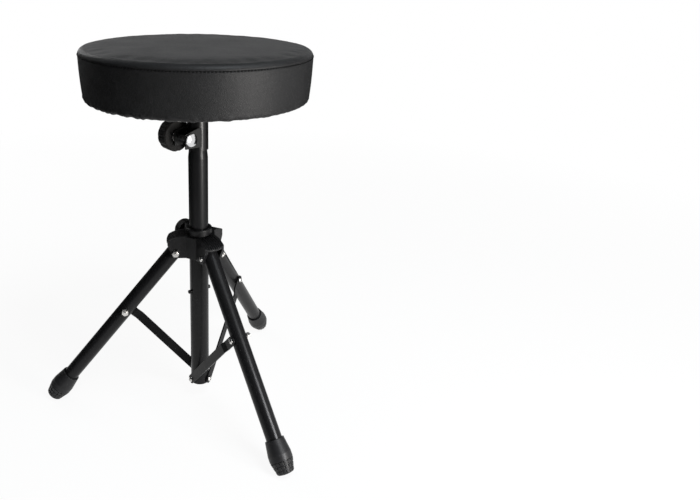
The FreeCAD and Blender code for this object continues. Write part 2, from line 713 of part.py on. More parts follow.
def make_foot(number, place):
    """A rubber cup: collar, flare, plain band, tapering tread of blocks, and a flat where it stands."""
    bore = f"{LEG_RADIUS} + running_gap"
    dome_rim = f"({FOOT_TIP} - foot_chamfer)"
    dome = f"(foot_dome_radius - sqrt(foot_dome_radius^2 - {dome_rim}^2))"
    body = new_body(f"foot_{number}")
    revolve(body, [[("0", f"-{dome}", "left", "foot_dome_radius"), (dome_rim, "0"),
                    (FOOT_TIP, "foot_chamfer"), (FOOT_BAND, "foot_tread_length"),
                    (FOOT_BAND, "foot_tread_length + foot_band_length"),
                    (FOOT_COLLAR, "foot_length"), (bore, "foot_length"), (bore, "foot_floor"),
                    ("0", "foot_floor")]])
    doc.recompute()
    row = f"(foot_tread_length / {TREAD_ROWS})"
    beyond = f"2 * {FOOT_BAND}"
    rings = []
    for ring in range(1, TREAD_ROWS + 1):
        inner = f"({FOOT_TIP} + ({FOOT_BAND} - {FOOT_TIP}) * {ring} / {TREAD_ROWS} - tread_depth)"
        rings.append(rectangle(inner, beyond, f"{ring} * {row} - tread_groove / 2",
                               f"{ring} * {row} + tread_groove / 2"))
    cut_makes_smaller(body, revolve(body, rings, "Groove"))
    slot = sketch_on(body, "XZ_Plane")
    outline(slot, [(f"{FOOT_TIP} - tread_depth", "0"), (beyond, "0"), (beyond, "foot_tread_length"),
                   (f"{FOOT_BAND} - tread_depth", "foot_tread_length")])
    around(body, pocket(body, slot, "tread_groove", both_ways=True), "tread_slots")
    body.Placement = place
    # A block below the floor, wide enough to hold the whole foot, trims the flat.
    floor = doc.addObject("Part::Box", f"floor_{number}")
    for side in ("Length", "Width", "Height"):
        bind(floor, side, "2 * foot_length")
    reach = size("foot_length")
    floor.Placement = moved(place.Base.x - reach, place.Base.y - reach, -2 * reach)
    foot = doc.addObject("Part::Cut", f"standing_foot_{number}")
    foot.Base = body
    foot.Tool = floor
    keep(foot, f"leg_foot_{number}")


def make_brace(number, azimuth):
    """A strip bent in side view, trimmed to round ends and drilled in front view."""
    low, high, end = BRACE_AT_POST, BRACE_AT_LEG, "brace_width / 2"
    bend, flat = "(brace_length - joggle_start)", "(brace_length - joggle_start + joggle_run)"
    bent = new_body(f"bent_strip_{number}")
    side = sketch_on(bent, "YZ_Plane")
    near = [(f"-{low}", "-brace_width"), (f"-{low}", bend), (f"-{high}", flat),
            (f"-{high}", "brace_length + brace_width")]
    far = [(f"{y} - brace_thickness", z) for y, z in reversed(near)]
    outline(side, near + far)
    push(bent, "Pad", side, "2 * brace_width", both_ways=True)
    strip = new_body(f"round_ends_{number}")
    front = sketch_on(strip, "XZ_Plane")
    outline(front, [(f"-{end}", "brace_length"), (f"-{end}", "0", "left", end),
                    ("0", f"-{end}", "left", end), (end, "0"), (end, "brace_length", "left", end),
                    ("0", f"brace_length + {end}", "left", end)])
    circle(front, "0", "0", BOLT_HOLE)
    circle(front, "0", "brace_length", BOLT_HOLE)
    push(strip, "Pad", front, "4 * post_diameter", both_ways=True)
    brace = doc.addObject("Part::Common", f"brace_strip_{number}")
    brace.Base = bent
    brace.Tool = strip
    keep(brace, f"brace_{number}", brace_place(azimuth))


# Seat socket and clamp

def make_sleeve():
    body = new_body("sleeve")
    revolve(body, [rectangle(SLEEVE_BORE, SLEEVE_RADIUS, "-sleeve_length", "0")])
    doc.recompute()
    slit = sketch_on(body, "XZ_Plane")
    outline(slit, rectangle("0", f"2 * {SLEEVE_RADIUS}", "-2 * sleeve_length",
                            "slit_length - sleeve_length"))
    pocket(body, slit, "slit_width", both_ways=True)
    keep(body, "seat_sleeve", CLAMP_PLACE)


def make_ears():
    """Two flat ears welded to the sleeve on either side of its slit."""
    body = new_body("ears")
    side = sketch_on(body, "XZ_Plane")
    bottom, top = f"{CLAMP_LEVEL} - ear_below", f"{CLAMP_LEVEL} + ear_root_above"
    outline(side, [("0", bottom), (EAR_REACH, bottom), (EAR_REACH, f"{CLAMP_LEVEL} + ear_end_above"),
                   (f"{SLEEVE_RADIUS} - ear_shoulder", top), ("0", top)])
    push(body, "Pad", side, f"2 * {EAR_FACE}", both_ways=True)
    doc.recompute()
    gap = sketch_on(body, "XZ_Plane")
    outline(gap, rectangle("0", f"2 * {EAR_REACH}", "-2 * sleeve_length", "sleeve_length"))
    pocket(body, gap, f"2 * {EAR_INNER}", both_ways=True)
    weld = sketch_on(body, "XY_Plane")
    circle(weld, "0", "0", f"2 * {SLEEVE_RADIUS}")
    pocket(body, weld, "4 * sleeve_length", both_ways=True)
    hole = sketch_on(body, "XZ_Plane")
    circle(hole, CLAMP_BOLT_PLACE, CLAMP_LEVEL, "clamp_bolt_diameter + 2 * running_gap")
    pocket(body, hole, f"4 * {EAR_REACH}", both_ways=True)
    keep(body, "clamp_ears", CLAMP_PLACE)


def make_clamp():
    """The bolt from the left ear through the right one, then washer, knob and insert."""
    shank = "clamp_bolt_diameter / 2"
    head = "clamp_head_diameter"
    bolt_line = CLAMP_PLACE * moved(size(CLAMP_BOLT_PLACE), 0, size(CLAMP_LEVEL))
    length = f"2 * {EAR_FACE} + washer_thickness + seat_gap + {INSERT_HEIGHT}"
    dome = domed_head(head, "clamp_head_edge", "clamp_head_height")
    turned_piece("clamp_bolt", [("0", f"-({length})"), (shank, f"-({length})"), (shank, "0"),
                                (f"{head} / 2", "0"), (f"{head} / 2", "clamp_head_edge", "left", dome),
                                ("0", "clamp_head_height")],
                 bolt_line * TO_LEFT * moved(0, 0, size(EAR_FACE)))
    outwards = bolt_line * TO_RIGHT
    hole = f"{shank} + running_gap"
    turned_piece("clamp_washer", rectangle(hole, "washer_diameter / 2", "0", "washer_thickness"),
                 outwards * moved(0, 0, size(EAR_FACE)))
    knob_place = outwards * moved(0, 0, size(f"{EAR_FACE} + washer_thickness + seat_gap"))
    turned_piece("clamp_knob_insert", rectangle(hole, "insert_diameter / 2", "0", INSERT_HEIGHT),
                 knob_place)

    rim = "clamp_knob_diameter / 2"
    socket = "insert_diameter / 2"
    knob = new_body("knob")
    revolve(knob, [[(socket, "0"), (f"{rim} - clamp_knob_chamfer", "0"), (rim, "clamp_knob_chamfer"),
                    (rim, "clamp_knob_height - clamp_knob_chamfer"),
                    (f"{rim} - clamp_knob_chamfer", "clamp_knob_height"), ("0", "clamp_knob_height"),
                    ("0", INSERT_HEIGHT), (socket, INSERT_HEIGHT)]])
    doc.recompute()
    scallop = sketch_on(knob, "XY_Plane")
    circle(scallop, f"{rim} + scallop_radius - scallop_depth", "0", "2 * scallop_radius")
    around(knob, pocket(knob, scallop, "4 * clamp_knob_height", both_ways=True), "scallop_count")
    keep(knob, "clamp_knob", knob_place)


# Seat

def plate_holes(sketch, diameter):
    for x in (PLATE_HOLE, f"-{PLATE_HOLE}"):
        for y in (PLATE_HOLE, f"-{PLATE_HOLE}"):
            circle(sketch, x, y, diameter)


def make_plate():
    body = new_body("plate")
    sketch = sketch_on(body, "XY_Plane")
    far, near = "plate_width / 2", "(plate_width / 2 - plate_corner)"
    outline(sketch, [(far, f"-{near}"), (far, near), (near, far), (f"-{near}", far), (f"-{far}", near),
                     (f"-{far}", f"-{near}"), (f"-{near}", f"-{far}"), (near, f"-{far}")])
    plate_holes(sketch, "plate_screw_diameter + 2 * side_gap")
    push(body, "Pad", sketch, "plate_thickness")
    keep(body, "seat_plate", CLAMP_PLACE)


def make_dust_cloth():
    body = new_body("dust_cloth")
    sketch = sketch_on(body, "XY_Plane", offset="plate_thickness")
    circle(sketch, "0", "0", f"2 * ({LIP_RADIUS} - cloth_inset)")
    plate_holes(sketch, "plate_screw_diameter + 2 * side_gap")
    push(body, "Pad", sketch, "cloth_thickness")
    keep(body, "seat_dust_cloth", CLAMP_PLACE)


def make_board():
    body = new_body("board")
    sketch = sketch_on(body, "XY_Plane", offset=BOARD_BOTTOM)
    circle(sketch, "0", "0", f"2 * {BOARD_RADIUS}")
    plate_holes(sketch, "tee_barrel_diameter + 2 * side_gap")
    push(body, "Pad", sketch, "board_thickness")
    doc.recompute()
    sinks = sketch_on(body, "XY_Plane", offset=BOARD_TOP)
    plate_holes(sinks, "tee_flange_diameter + 2 * side_gap")
    pocket(body, sinks, "tee_flange_height + side_gap")
    keep(body, "seat_board", CLAMP_PLACE)


def make_plate_fasteners():
    """Machine screws through the plate into tee nuts sunk in the board's top."""
    half = size(PLATE_HOLE)
    barrel, flange = "tee_barrel_diameter / 2", "tee_flange_diameter / 2"
    bore = "(plate_screw_diameter / 2 + running_gap)"
    screws = []
    nuts = []
    for number, (x, y) in enumerate(((half, half), (-half, half), (-half, -half), (half, -half)), start=1):
        under = CLAMP_PLACE * moved(x, y, 0)
        screws.append(cross_bolt(f"plate_screw_{number}", BOARD_TOP, under * turned(ALONG_X, 180.0),
                                 "plate_screw_head", "plate_screw_head_height", "plate_screw_diameter"))
        nut = new_body(f"tee_nut_{number}")
        revolve(nut, [[(bore, f"-{TEE_BARREL_LENGTH}"), (barrel, f"-{TEE_BARREL_LENGTH}"), (barrel, "0"),
                       (flange, "0"), (flange, "tee_flange_height"), (bore, "tee_flange_height")]])
        nut.Placement = under * moved(0, 0, size(f"{BOARD_TOP} - tee_flange_height"))
        nuts.append(nut)
    keep_group("plate_screws", screws)
    keep_group("seat_tee_nuts", nuts)


def make_staples():
    """Wire staples that hold the cover's lip to the board."""
    half, wire = "staple_width / 2", "staple_wire"
    body = new_body("staples")
    sketch = sketch_on(body, "YZ_Plane", offset=f"{LIP_RADIUS} + cover_lip / 2")
    bottom = f"({COVER_BOTTOM} - staple_wire)"
    top = f"({COVER_BOTTOM} + staple_leg)"
    outline(sketch, [(f"-{half}", bottom), (half, bottom), (half, top), (f"{half} - {wire}", top),
                     (f"{half} - {wire}", COVER_BOTTOM), (f"-{half} + {wire}", COVER_BOTTOM),
                     (f"-{half} + {wire}", top), (f"-{half}", top)])
    around(body, push(body, "Pad", sketch, wire, both_ways=True), "staple_count")
    keep(body, "seat_staples", CLAMP_PLACE)


def seat_section(inset, start):
    """The padded seat's outer line from its foot to its middle, drawn in by an inset."""
    foot, side = f"({SEAT_FOOT} - {inset})", f"(seat_diameter / 2 - {inset})"
    edge = f"(seat_edge_radius - {inset})"
    low = f"({COVER_BOTTOM} + {inset})"
    seam = f"(seam_width / 2 + {inset})"
    groove = f"({side} - seam_depth)"
    roll = "(seat_diameter / 2 - seat_roll_radius)"
    shelf = f"({ROLL_LEVEL} - {inset})"
    crown = f"({roll}^2 + seat_crown^2) / (2 * seat_crown)"
    return [(start, low), (f"{foot} - {edge}", low, "left", edge),
            (foot, f"{low} + {edge}", "left", "seat_side_bow"),
            (side, f"{SEAM_LEVEL} - {seam}"), (groove, SEAM_LEVEL),
            (side, f"{SEAM_LEVEL} + {seam}"),
            (side, f"{ROLL_LEVEL} - seat_roll_radius", "left", f"(seat_roll_radius - {inset})"),
            (roll, shelf, "left", crown), ("0", f"{shelf} + seat_crown")]


def make_cover():
    """The sewn cover: lip under the board, edge, bowed side, seam, upright rim, roll and crown."""
    outside = seat_section("0", LIP_RADIUS)
    inside = seat_section("cover_thickness", LIP_RADIUS)
    body = new_body("cover")
    revolve(body, [outside + list_backwards(inside)])
    keep(body, "seat_cover", SEAT_PLACE)


def list_backwards(corners):
    """The same line walked from its end, with each round edge bending the other way."""
    flipped = []
    for place in range(len(corners) - 1, -1, -1):
        before = corners[place - 1] if place else ()
        bend = ("right", before[3]) if len(before) == 4 else ()
        flipped.append(corners[place][:2] + bend)
    return flipped


def make_foam():
    inset = "(cover_thickness + soft_gap)"
    line = seat_section(inset, "0")
    side = (f"({SEAT_FOOT} - {inset})", f"({BOARD_TOP} + soft_gap)", "left", "seat_side_bow")
    body = new_body("foam")
    revolve(body, [[("0", f"{BOARD_TOP} + soft_gap"), side] + line[3:]])
    keep(body, "seat_foam", SEAT_PLACE)


make_post()
make_stop_pin()
make_plug()
make_post_fasteners()
make_hub()
make_hub_fasteners()
make_hub_knob()
for leg_number, leg_azimuth in enumerate(LEG_AZIMUTHS, start=1):
    make_leg(leg_number, leg_azimuth)
    make_brace(leg_number, leg_azimuth)
make_sleeve()
make_ears()
make_clamp()
make_plate()
make_dust_cloth()
make_board()
make_plate_fasteners()
make_staples()
make_cover()
make_foam()
doc.recompute()

for thing in doc.Objects:
    if "Invalid" in thing.State or "Error" in thing.State:
        raise RuntimeError(f"{thing.Name} ({thing.Label}) failed: {thing.State}")
for thing in sub_parts:
    if thing.Shape.isNull() or not thing.Shape.isValid() or not thing.Shape.Solids:
        raise RuntimeError(f"{thing.Label} has no valid solid")

os.makedirs("parts", exist_ok=True)
for thing in sub_parts:
    thing.Shape.exportStep(f"parts/{thing.Label}.step")
    box = thing.Shape.BoundBox
    print(f"{thing.Label}: {len(thing.Shape.Solids)} solids, {thing.Shape.Volume / 1000:.2f} cm3, "
          f"z {box.ZMin:.2f} to {box.ZMax:.2f}")
print(f"pivot height {PIVOT_HEIGHT:.3f}, leg reach {LEG_REACH:.3f}, "
      f"brace lean {math.degrees(BRACE_LEAN):.3f}")
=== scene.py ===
"""Drum stool: the leather seat, the finishes, the floor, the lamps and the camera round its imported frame."""
import math

import bpy
import numpy as np
from bpy.props import FloatProperty, FloatVectorProperty, IntProperty, PointerProperty
from mathutils import Matrix, Vector, noise
from mathutils.kdtree import KDTree


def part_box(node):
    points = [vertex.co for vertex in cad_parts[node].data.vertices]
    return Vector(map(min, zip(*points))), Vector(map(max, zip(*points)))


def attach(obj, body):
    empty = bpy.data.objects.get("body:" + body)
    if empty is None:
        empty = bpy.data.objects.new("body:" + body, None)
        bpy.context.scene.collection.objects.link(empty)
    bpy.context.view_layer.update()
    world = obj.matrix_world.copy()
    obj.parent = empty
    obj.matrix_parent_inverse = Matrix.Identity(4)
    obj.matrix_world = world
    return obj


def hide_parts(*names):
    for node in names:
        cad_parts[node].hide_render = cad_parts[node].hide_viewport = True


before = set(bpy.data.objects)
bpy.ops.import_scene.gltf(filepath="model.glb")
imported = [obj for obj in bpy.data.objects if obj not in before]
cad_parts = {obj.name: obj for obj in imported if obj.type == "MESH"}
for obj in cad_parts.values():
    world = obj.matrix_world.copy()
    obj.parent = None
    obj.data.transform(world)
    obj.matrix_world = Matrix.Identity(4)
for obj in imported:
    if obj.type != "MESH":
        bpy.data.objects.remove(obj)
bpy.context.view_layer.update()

bl_info = {
    "name": "Drum Stool",
    "version": (1, 0, 0),
    "blender": (4, 5, 0),
    "location": "View3D > Sidebar > Drum Stool",
    "description": "Dresses the frame of a folding drum stool with its seat, finishes and studio",
    "category": "Object",
}

LEGS = (1, 2, 3)
GLOSSY_NODES = ["seat_sleeve", "clamp_ears", "seat_plate"]
PAINTED_NODES = ["centre_post", "stop_pin"]
PAINTED_NODES += [f"leg_tube_{leg}" for leg in LEGS]
BRACE_NODES = [f"brace_{leg}" for leg in LEGS]
HUB_NODES = ["hub_body", "post_top_plug"]
KNOB_NODES = ["hub_knob_cap", "clamp_knob"]
FOOT_NODES = [f"leg_foot_{leg}" for leg in LEGS]
ZINC_NODES = ["post_weld_nuts", "post_screws", "hub_captive_nut", "hub_pivot_bolts", "hub_pivot_nuts",
              "hub_knob_screw", "seat_staples", "plate_screws", "seat_tee_nuts", "clamp_washer"]
ZINC_NODES += [f"brace_bolt_{leg}" for leg in LEGS]
ZINC_NODES += [f"brace_nut_{leg}" for leg in LEGS]

SEAT_LOW, SEAT_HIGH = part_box("seat_cover")
BOARD_LOW, BOARD_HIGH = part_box("seat_board")
CLOTH_LOW, CLOTH_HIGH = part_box("seat_dust_cloth")
SLEEVE_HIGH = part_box("seat_sleeve")[1]

MM = 0.001
PHOTO_WIDTH = 700
PHOTO_HEIGHT = 500
SENSOR_WIDTH = 36.0
WHITE = (1.0, 1.0, 1.0)

# Where the mix node keeps its sockets for colours
MIX_FACTOR = 0
MIX_FIRST = 6
MIX_SECOND = 7
MIX_RESULT = 2


# Settings

def length(name, description, default):
    """A property that holds a length in metres."""
    return FloatProperty(name=name, description=description, default=default, unit="LENGTH",
                         subtype="DISTANCE", precision=5, min=0.0)


def colour(name, description, default):
    """A property that holds a colour as the shader takes it."""
    return FloatVectorProperty(name=name, description=description, default=default, subtype="COLOR",
                               size=3, min=0.0, max=1.0)


def angle(name, description, degrees):
    """A property that holds an angle, written here in degrees."""
    return FloatProperty(name=name, description=description, default=math.radians(degrees),
                         unit="ROTATION", subtype="ANGLE")


def fraction(name, description, default):
    """A property that holds a share from 0 to 1."""
    return FloatProperty(name=name, description=description, default=default, subtype="FACTOR",
                         min=0.0, max=1.0)


def watts(name, description, default):
    """A property that holds a lamp's power."""
    return FloatProperty(name=name, description=description, default=default, unit="POWER", min=0.0)


class SeatSettings(bpy.types.PropertyGroup):
    """Sizes and colours of the padded seat."""

    radius: length("Radius", "From the middle to the sewn seam", SEAT_HIGH.x)
    side_height: length("Side height", "From the seat's foot up to the seam", 53.8 * MM)
    draw_in: length("Draw-in", "How much smaller the foot is than the seam", 3 * MM)
    foot_round: length("Foot round", "Radius of the edge that turns under the board", 5 * MM)
    side_bow: length("Side bow", "Radius of the side band's slow curve", 420 * MM)
    roll_height: length("Roll height", "From the seam up to the end of the rolled edge", 8.7 * MM)
    roll_round: length("Roll round", "Radius of the rolled edge", 8.2 * MM)
    crown: length("Crown", "How far the middle of the top stands above the rolled edge", 3 * MM)
    hem_width: length("Hem", "Width of the hem that lies under the board", 18.2 * MM)
    skin_inset: length("Inset", "How much smaller the pad starts before it swells", 0.9 * MM)
    swell: length("Swell", "The furthest that the padding pushes the skin out", 1.0 * MM)
    seam_depth: length("Seam depth", "How deep the sewn seam pulls in", 0.6 * MM)
    seam_width: length("Seam width", "Half width of the valley at the seam", 0.7 * MM)
    gather_pitch: length("Gather pitch", "Mean distance between the gathers round the foot", 10 * MM)
    gather_depth: length("Gather depth", "How far a gather stands out", 1.6 * MM)
    gather_climb: length("Gather climb", "How far the gathers run up from the foot", 6 * MM)
    gather_azimuth: angle("Gather side", "Where round the foot the gathers are fullest", 234)
    stitch_pitch: length("Stitch pitch", "Distance from one stitch to the next", 3.9 * MM)
    thread: length("Thread", "Thickness of the sewing thread", 0.95 * MM)
    grain: length("Grain", "Size of one cell of the leather's grain", 1.5 * MM)
    leather_colour: colour("Leather", "Colour of the artificial leather", (0.017, 0.017, 0.0175))
    thread_colour: colour("Thread colour", "Colour of the sewing thread", (0.003, 0.003, 0.003))
    cloth_colour: colour("Dust cloth", "Colour of the cloth under the board", (0.022, 0.022, 0.024))
    cloth_sag: length("Cloth sag", "How far the dust cloth hangs between its edges", 0.9 * MM)


class FinishSettings(bpy.types.PropertyGroup):
    """Colours and shine of the finishes, and the size of the weld."""

    paint: colour("Paint", "Powder coat on the tubes, braces and seat mount", (0.005, 0.005, 0.0053))
    stand_shine: fraction("Stand shine", "How strongly the paint of the post and legs reflects", 0.18)
    brace_shine: fraction("Brace shine", "How strongly the braces' paint reflects", 0.08)
    mount_shine: fraction("Mount shine", "How strongly the seat mount's paint reflects", 0.3)
    hub: colour("Hub plastic", "Moulded plastic of the hub", (0.007, 0.007, 0.0075))
    knob: colour("Knob plastic", "Matt plastic of the knobs", (0.008, 0.0077, 0.0075))
    rubber: colour("Rubber", "Rubber of the feet", (0.007, 0.007, 0.0075))
    dust: colour("Dust", "What the feet pick up from the floor", (0.10, 0.095, 0.088))
    zinc: colour("Zinc", "Plating of bolts, nuts and staples", (0.72, 0.71, 0.69))
    chrome: colour("Chrome", "Plating of the clamp bolt", (0.72, 0.72, 0.73))
    brass: colour("Brass", "The clamp knob's insert", (0.70, 0.52, 0.24))
    bare_steel: colour("Bare steel", "What shows where paint is worn from an edge", (0.16, 0.155, 0.15))
    wood: colour("Plywood", "The board inside the seat", (0.46, 0.32, 0.18))
    foam: colour("Foam", "The pad inside the seat", (0.62, 0.55, 0.36))
    weld: length("Weld", "Leg length of the bead between sleeve and plate", 2.4 * MM)


class StageSettings(bpy.types.PropertyGroup):
    """Floor, lamps, flags and camera."""

    floor_colour: colour("Floor", "Colour of the floor", (0.96, 0.96, 0.955))
    floor_glow: fraction("Floor white", "Share of plain white in the near floor", 0.92)
    floor_near: length("Shadow reach", "How far from the stool the floor keeps its shadow", 0.5)
    floor_far: length("White reach", "How far from the stool the floor is plain white", 1.6)
    sky: FloatProperty(name="Sky", description="Strength of the even light from all round",
                       default=0.18, min=0.0)
    key_power: watts("Key lamp", "Power of the soft lamp on the right", 15.0)
    top_power: watts("Top lamp", "Power of the lamp overhead", 15.0)
    fill_power: watts("Fill lamp", "Power of the weak lamp behind the stool", 5.0)
    streak_power: watts("Streak lamp", "Power of the lamp on the post, legs and feet alone", 15.0)
    flag_colour: colour("Flags", "Dark boards round the stool that only the gloss shows", (0.02, 0.02, 0.02))
    camera_place: FloatVectorProperty(name="Camera", description="Where the camera stands",
                                      default=(0.0, -0.84055, 0.59408), size=3, subtype="TRANSLATION",
                                      unit="LENGTH")
    pitch: angle("Pitch", "How far the camera looks down", 19.69)
    yaw: angle("Yaw", "How far the camera looks to the right", 5.67)
    roll: angle("Roll", "How far the camera leans", -1.375)
    focal: FloatProperty(name="Focal length", description="Focal length in pixels of the photograph",
                         default=691.1, min=1.0)
    centre: IntProperty(name="Centre", description="Column of the lens's axis in the photograph", default=263)
    middle: IntProperty(name="Middle", description="Row of the lens's axis in the photograph", default=199)


# Shader nodes shared by the finishes

def feed(tree, socket, value):
    """Sets a node's input, or links it where the value is a socket."""
    if isinstance(value, bpy.types.NodeSocket):
        tree.links.new(value, socket)
    else:
        socket.default_value = value


def add_node(tree, kind, inputs=None, **settings):
    """A new node with its settings made and its inputs fed, each by its name or number."""
    node = tree.nodes.new(kind)
    for name, value in settings.items():
        setattr(node, name, value)
    for name, value in (inputs or {}).items():
        feed(tree, node.inputs[name], value)
    return node


def new_finish(name, inputs):
    """A node material whose shader has these plain values. Returns the material, its tree and the shader."""
    material = bpy.data.materials.new(name)
    material.use_nodes = True
    shader = material.node_tree.nodes["Principled BSDF"]
    for socket, value in inputs.items():
        shader.inputs[socket].default_value = value
    return material, material.node_tree, shader


def connect(tree, shader, base, roughness, normal):
    """Links a finish's colour, roughness and normal to its shader."""
    tree.links.new(base, shader.inputs["Base Color"])
    tree.links.new(roughness, shader.inputs["Roughness"])
    tree.links.new(normal, shader.inputs["Normal"])


def place_on_piece(tree, stretch=(1.0, 1.0, 1.0)):
    """The point on the piece, in metres, for textures that need no unwrapping."""
    point = add_node(tree, "ShaderNodeTexCoord").outputs["Object"]
    if tuple(stretch) == (1.0, 1.0, 1.0):
        return point
    return add_node(tree, "ShaderNodeMapping", {"Vector": point, "Scale": stretch}).outputs["Vector"]


def mottle(tree, point, size, detail=2.0):
    """Soft noise whose blots are about this size, in metres."""
    return add_node(tree, "ShaderNodeTexNoise",
                    {"Vector": point, "Scale": 1 / size, "Detail": detail}).outputs["Fac"]


def between(tree, value, low, high, bottom, top):
    """The value's range from low to high, spread from bottom to top and held there."""
    return add_node(tree, "ShaderNodeMapRange", {
        "Value": value, "From Min": low, "From Max": high, "To Min": bottom, "To Max": top,
    }).outputs["Result"]


def lighter(tone, times):
    """A colour some times as light."""
    return tuple(min(1.0, part * times) for part in tone)


def shades(tree, factor, tone, darkest, lightest):
    """A colour from darkest to lightest times as light as the tone, as the factor goes from 0 to 1."""
    ramp = add_node(tree, "ShaderNodeValToRGB", {"Fac": factor})
    for element, times in zip(ramp.color_ramp.elements, (darkest, lightest)):
        element.color = (*lighter(tone, times), 1.0)
    return ramp.outputs["Color"]


def blend_colours(tree, factor, under, over):
    """A colour from a socket, with a plain one mixed over it by the factor."""
    colours = {MIX_FACTOR: factor, MIX_FIRST: under, MIX_SECOND: (*over, 1.0)}
    return add_node(tree, "ShaderNodeMix", colours, data_type="RGBA").outputs[MIX_RESULT]


def calculate(tree, operation, first, second):
    """One step of arithmetic on two values, either of which may be a socket."""
    return add_node(tree, "ShaderNodeMath", {0: first, 1: second}, operation=operation).outputs["Value"]


def raised(tree, height, depth, normal=None):
    """A normal that shows the height as relief of this depth, in metres."""
    inputs = {"Height": height, "Distance": depth, "Strength": 1.0}
    if normal is not None:
        inputs["Normal"] = normal
    return add_node(tree, "ShaderNodeBump", inputs).outputs["Normal"]


def rounded_edge(tree, radius):
    """A normal that is rounded over at the edges of the piece, and how near an edge is, from 0 to 1."""
    on_edge = 0.86
    on_face = 0.995
    soft = add_node(tree, "ShaderNodeBevel", {"Radius": radius}, samples=6).outputs["Normal"]
    plain = add_node(tree, "ShaderNodeNewGeometry").outputs["Normal"]
    alike = add_node(tree, "ShaderNodeVectorMath", {0: soft, 1: plain}, operation="DOT_PRODUCT")
    return soft, between(tree, alike.outputs["Value"], on_edge, on_face, 1.0, 0.0)


def openness(tree, reach):
    """How open a place on the piece lies: 1 on a ridge or face, 0 in a groove narrower than the reach."""
    in_groove = 0.55
    on_face = 0.9
    shade = add_node(tree, "ShaderNodeAmbientOcclusion", {"Distance": reach}, samples=8, only_local=True)
    return between(tree, shade.outputs["AO"], in_groove, on_face, 0.0, 1.0)


# Finishes

def powder_coat(finish, name, shine):
    """Powder coat: a satin skin with the faint waviness of cured powder, worn thin on the edges."""
    material, tree, shader = new_finish(name, {"Specular IOR Level": shine})
    point = place_on_piece(tree)
    soft, edge = rounded_edge(tree, 0.5 * MM)
    clouds = mottle(tree, point, 40 * MM, 3.0)
    scuffs = between(tree, mottle(tree, point, 2.5 * MM, 4.0), 0.52, 0.74, 0.0, 1.0)
    worn = calculate(tree, "MULTIPLY", edge, scuffs)
    coat = shades(tree, clouds, finish.paint, 0.8, 1.3)
    base = blend_colours(tree, worn, coat, finish.bare_steel)
    fine = mottle(tree, point, 0.9 * MM, 1.0)
    roughness = between(tree, mottle(tree, point, 18 * MM, 4.0), 0.3, 0.7, 0.27, 0.34)
    connect(tree, shader, base, roughness, raised(tree, fine, 0.012 * MM, soft))
    return material


def hub_plastic(finish):
    """Glass-filled moulding: fairly smooth, with faint flow marks, the open edges of its ridges painted
    lighter as a highlight.
    """
    material, tree, shader = new_finish("moulded_hub_plastic", {"Specular IOR Level": 0.22})
    point = place_on_piece(tree)
    soft, edge = rounded_edge(tree, 0.6 * MM)
    flow = mottle(tree, place_on_piece(tree, (1.0, 1.0, 0.25)), 9 * MM, 3.0)
    body = shades(tree, flow, finish.hub, 0.75, 1.35)
    # Painted highlight: the open edges of the ribs and faces are painted lighter, and the grooves are left
    # dark.
    lightened = calculate(tree, "MULTIPLY", edge, openness(tree, 3 * MM))
    base = blend_colours(tree, lightened, body, lighter(finish.hub, 7.0))
    roughness = between(tree, flow, 0.25, 0.75, 0.27, 0.42)
    texture = mottle(tree, point, 0.55 * MM, 2.0)
    connect(tree, shader, base, roughness, raised(tree, texture, 0.03 * MM, soft))
    return material


def knob_plastic(finish):
    """Spark-eroded plastic: matt, with a fine even grain, its edges painted lighter as a highlight."""
    material, tree, shader = new_finish("matt_knob_plastic", {"Specular IOR Level": 0.11})
    point = place_on_piece(tree)
    soft, edge = rounded_edge(tree, 0.5 * MM)
    clouds = mottle(tree, point, 12 * MM, 3.0)
    body = shades(tree, clouds, finish.knob, 0.8, 1.4)
    # Painted highlight: the knob's edges are painted lighter.
    lightened = calculate(tree, "MULTIPLY", edge, 0.5)
    base = blend_colours(tree, lightened, body, lighter(finish.knob, 2.5))
    roughness = between(tree, clouds, 0.25, 0.75, 0.42, 0.55)
    grain = mottle(tree, point, 0.7 * MM, 2.0)
    connect(tree, shader, base, roughness, raised(tree, grain, 0.09 * MM, soft))
    return material


def foot_rubber(finish):
    """Moulded rubber: dull, greyed by the floor near the tip."""
    material, tree, shader = new_finish("moulded_rubber", {"Specular IOR Level": 0.26})
    point = place_on_piece(tree)
    soft, edge = rounded_edge(tree, 0.7 * MM)
    clouds = mottle(tree, point, 7 * MM, 4.0)
    body = shades(tree, clouds, finish.rubber, 0.75, 1.5)
    height = add_node(tree, "ShaderNodeSeparateXYZ", {"Vector": point}).outputs["Z"]
    low = between(tree, height, 0.5 * MM, 12 * MM, 0.5, 0.0)
    patchy = between(tree, mottle(tree, point, 3 * MM, 5.0), 0.42, 0.72, 0.0, 1.0)
    lightened = calculate(tree, "MAXIMUM", calculate(tree, "MULTIPLY", edge, 0.3), low)
    grimy = calculate(tree, "MULTIPLY", lightened, patchy)
    base = blend_colours(tree, grimy, body, finish.dust)
    roughness = between(tree, clouds, 0.25, 0.75, 0.36, 0.50)
    grain = mottle(tree, point, 0.8 * MM, 3.0)
    connect(tree, shader, base, roughness, raised(tree, grain, 0.08 * MM, soft))
    return material


def plated(name, tone, smoothest, roughest, ripple):
    """A plated metal with smudges and the fine ripple of the plating."""
    material, tree, shader = new_finish(name, {"Metallic": 1.0})
    point = place_on_piece(tree)
    soft, edge = rounded_edge(tree, 0.3 * MM)
    smudge = mottle(tree, point, 3 * MM, 4.0)
    plate = shades(tree, smudge, tone, 0.72, 1.12)
    lightened = calculate(tree, "MULTIPLY", edge, 0.5)
    base = blend_colours(tree, lightened, plate, lighter(tone, 1.2))
    roughness = between(tree, smudge, 0.3, 0.7, smoothest, roughest)
    fine = mottle(tree, place_on_piece(tree, (1.0, 1.0, 0.2)), 0.5 * MM, 2.0)
    connect(tree, shader, base, roughness, raised(tree, fine, ripple, soft))
    return material


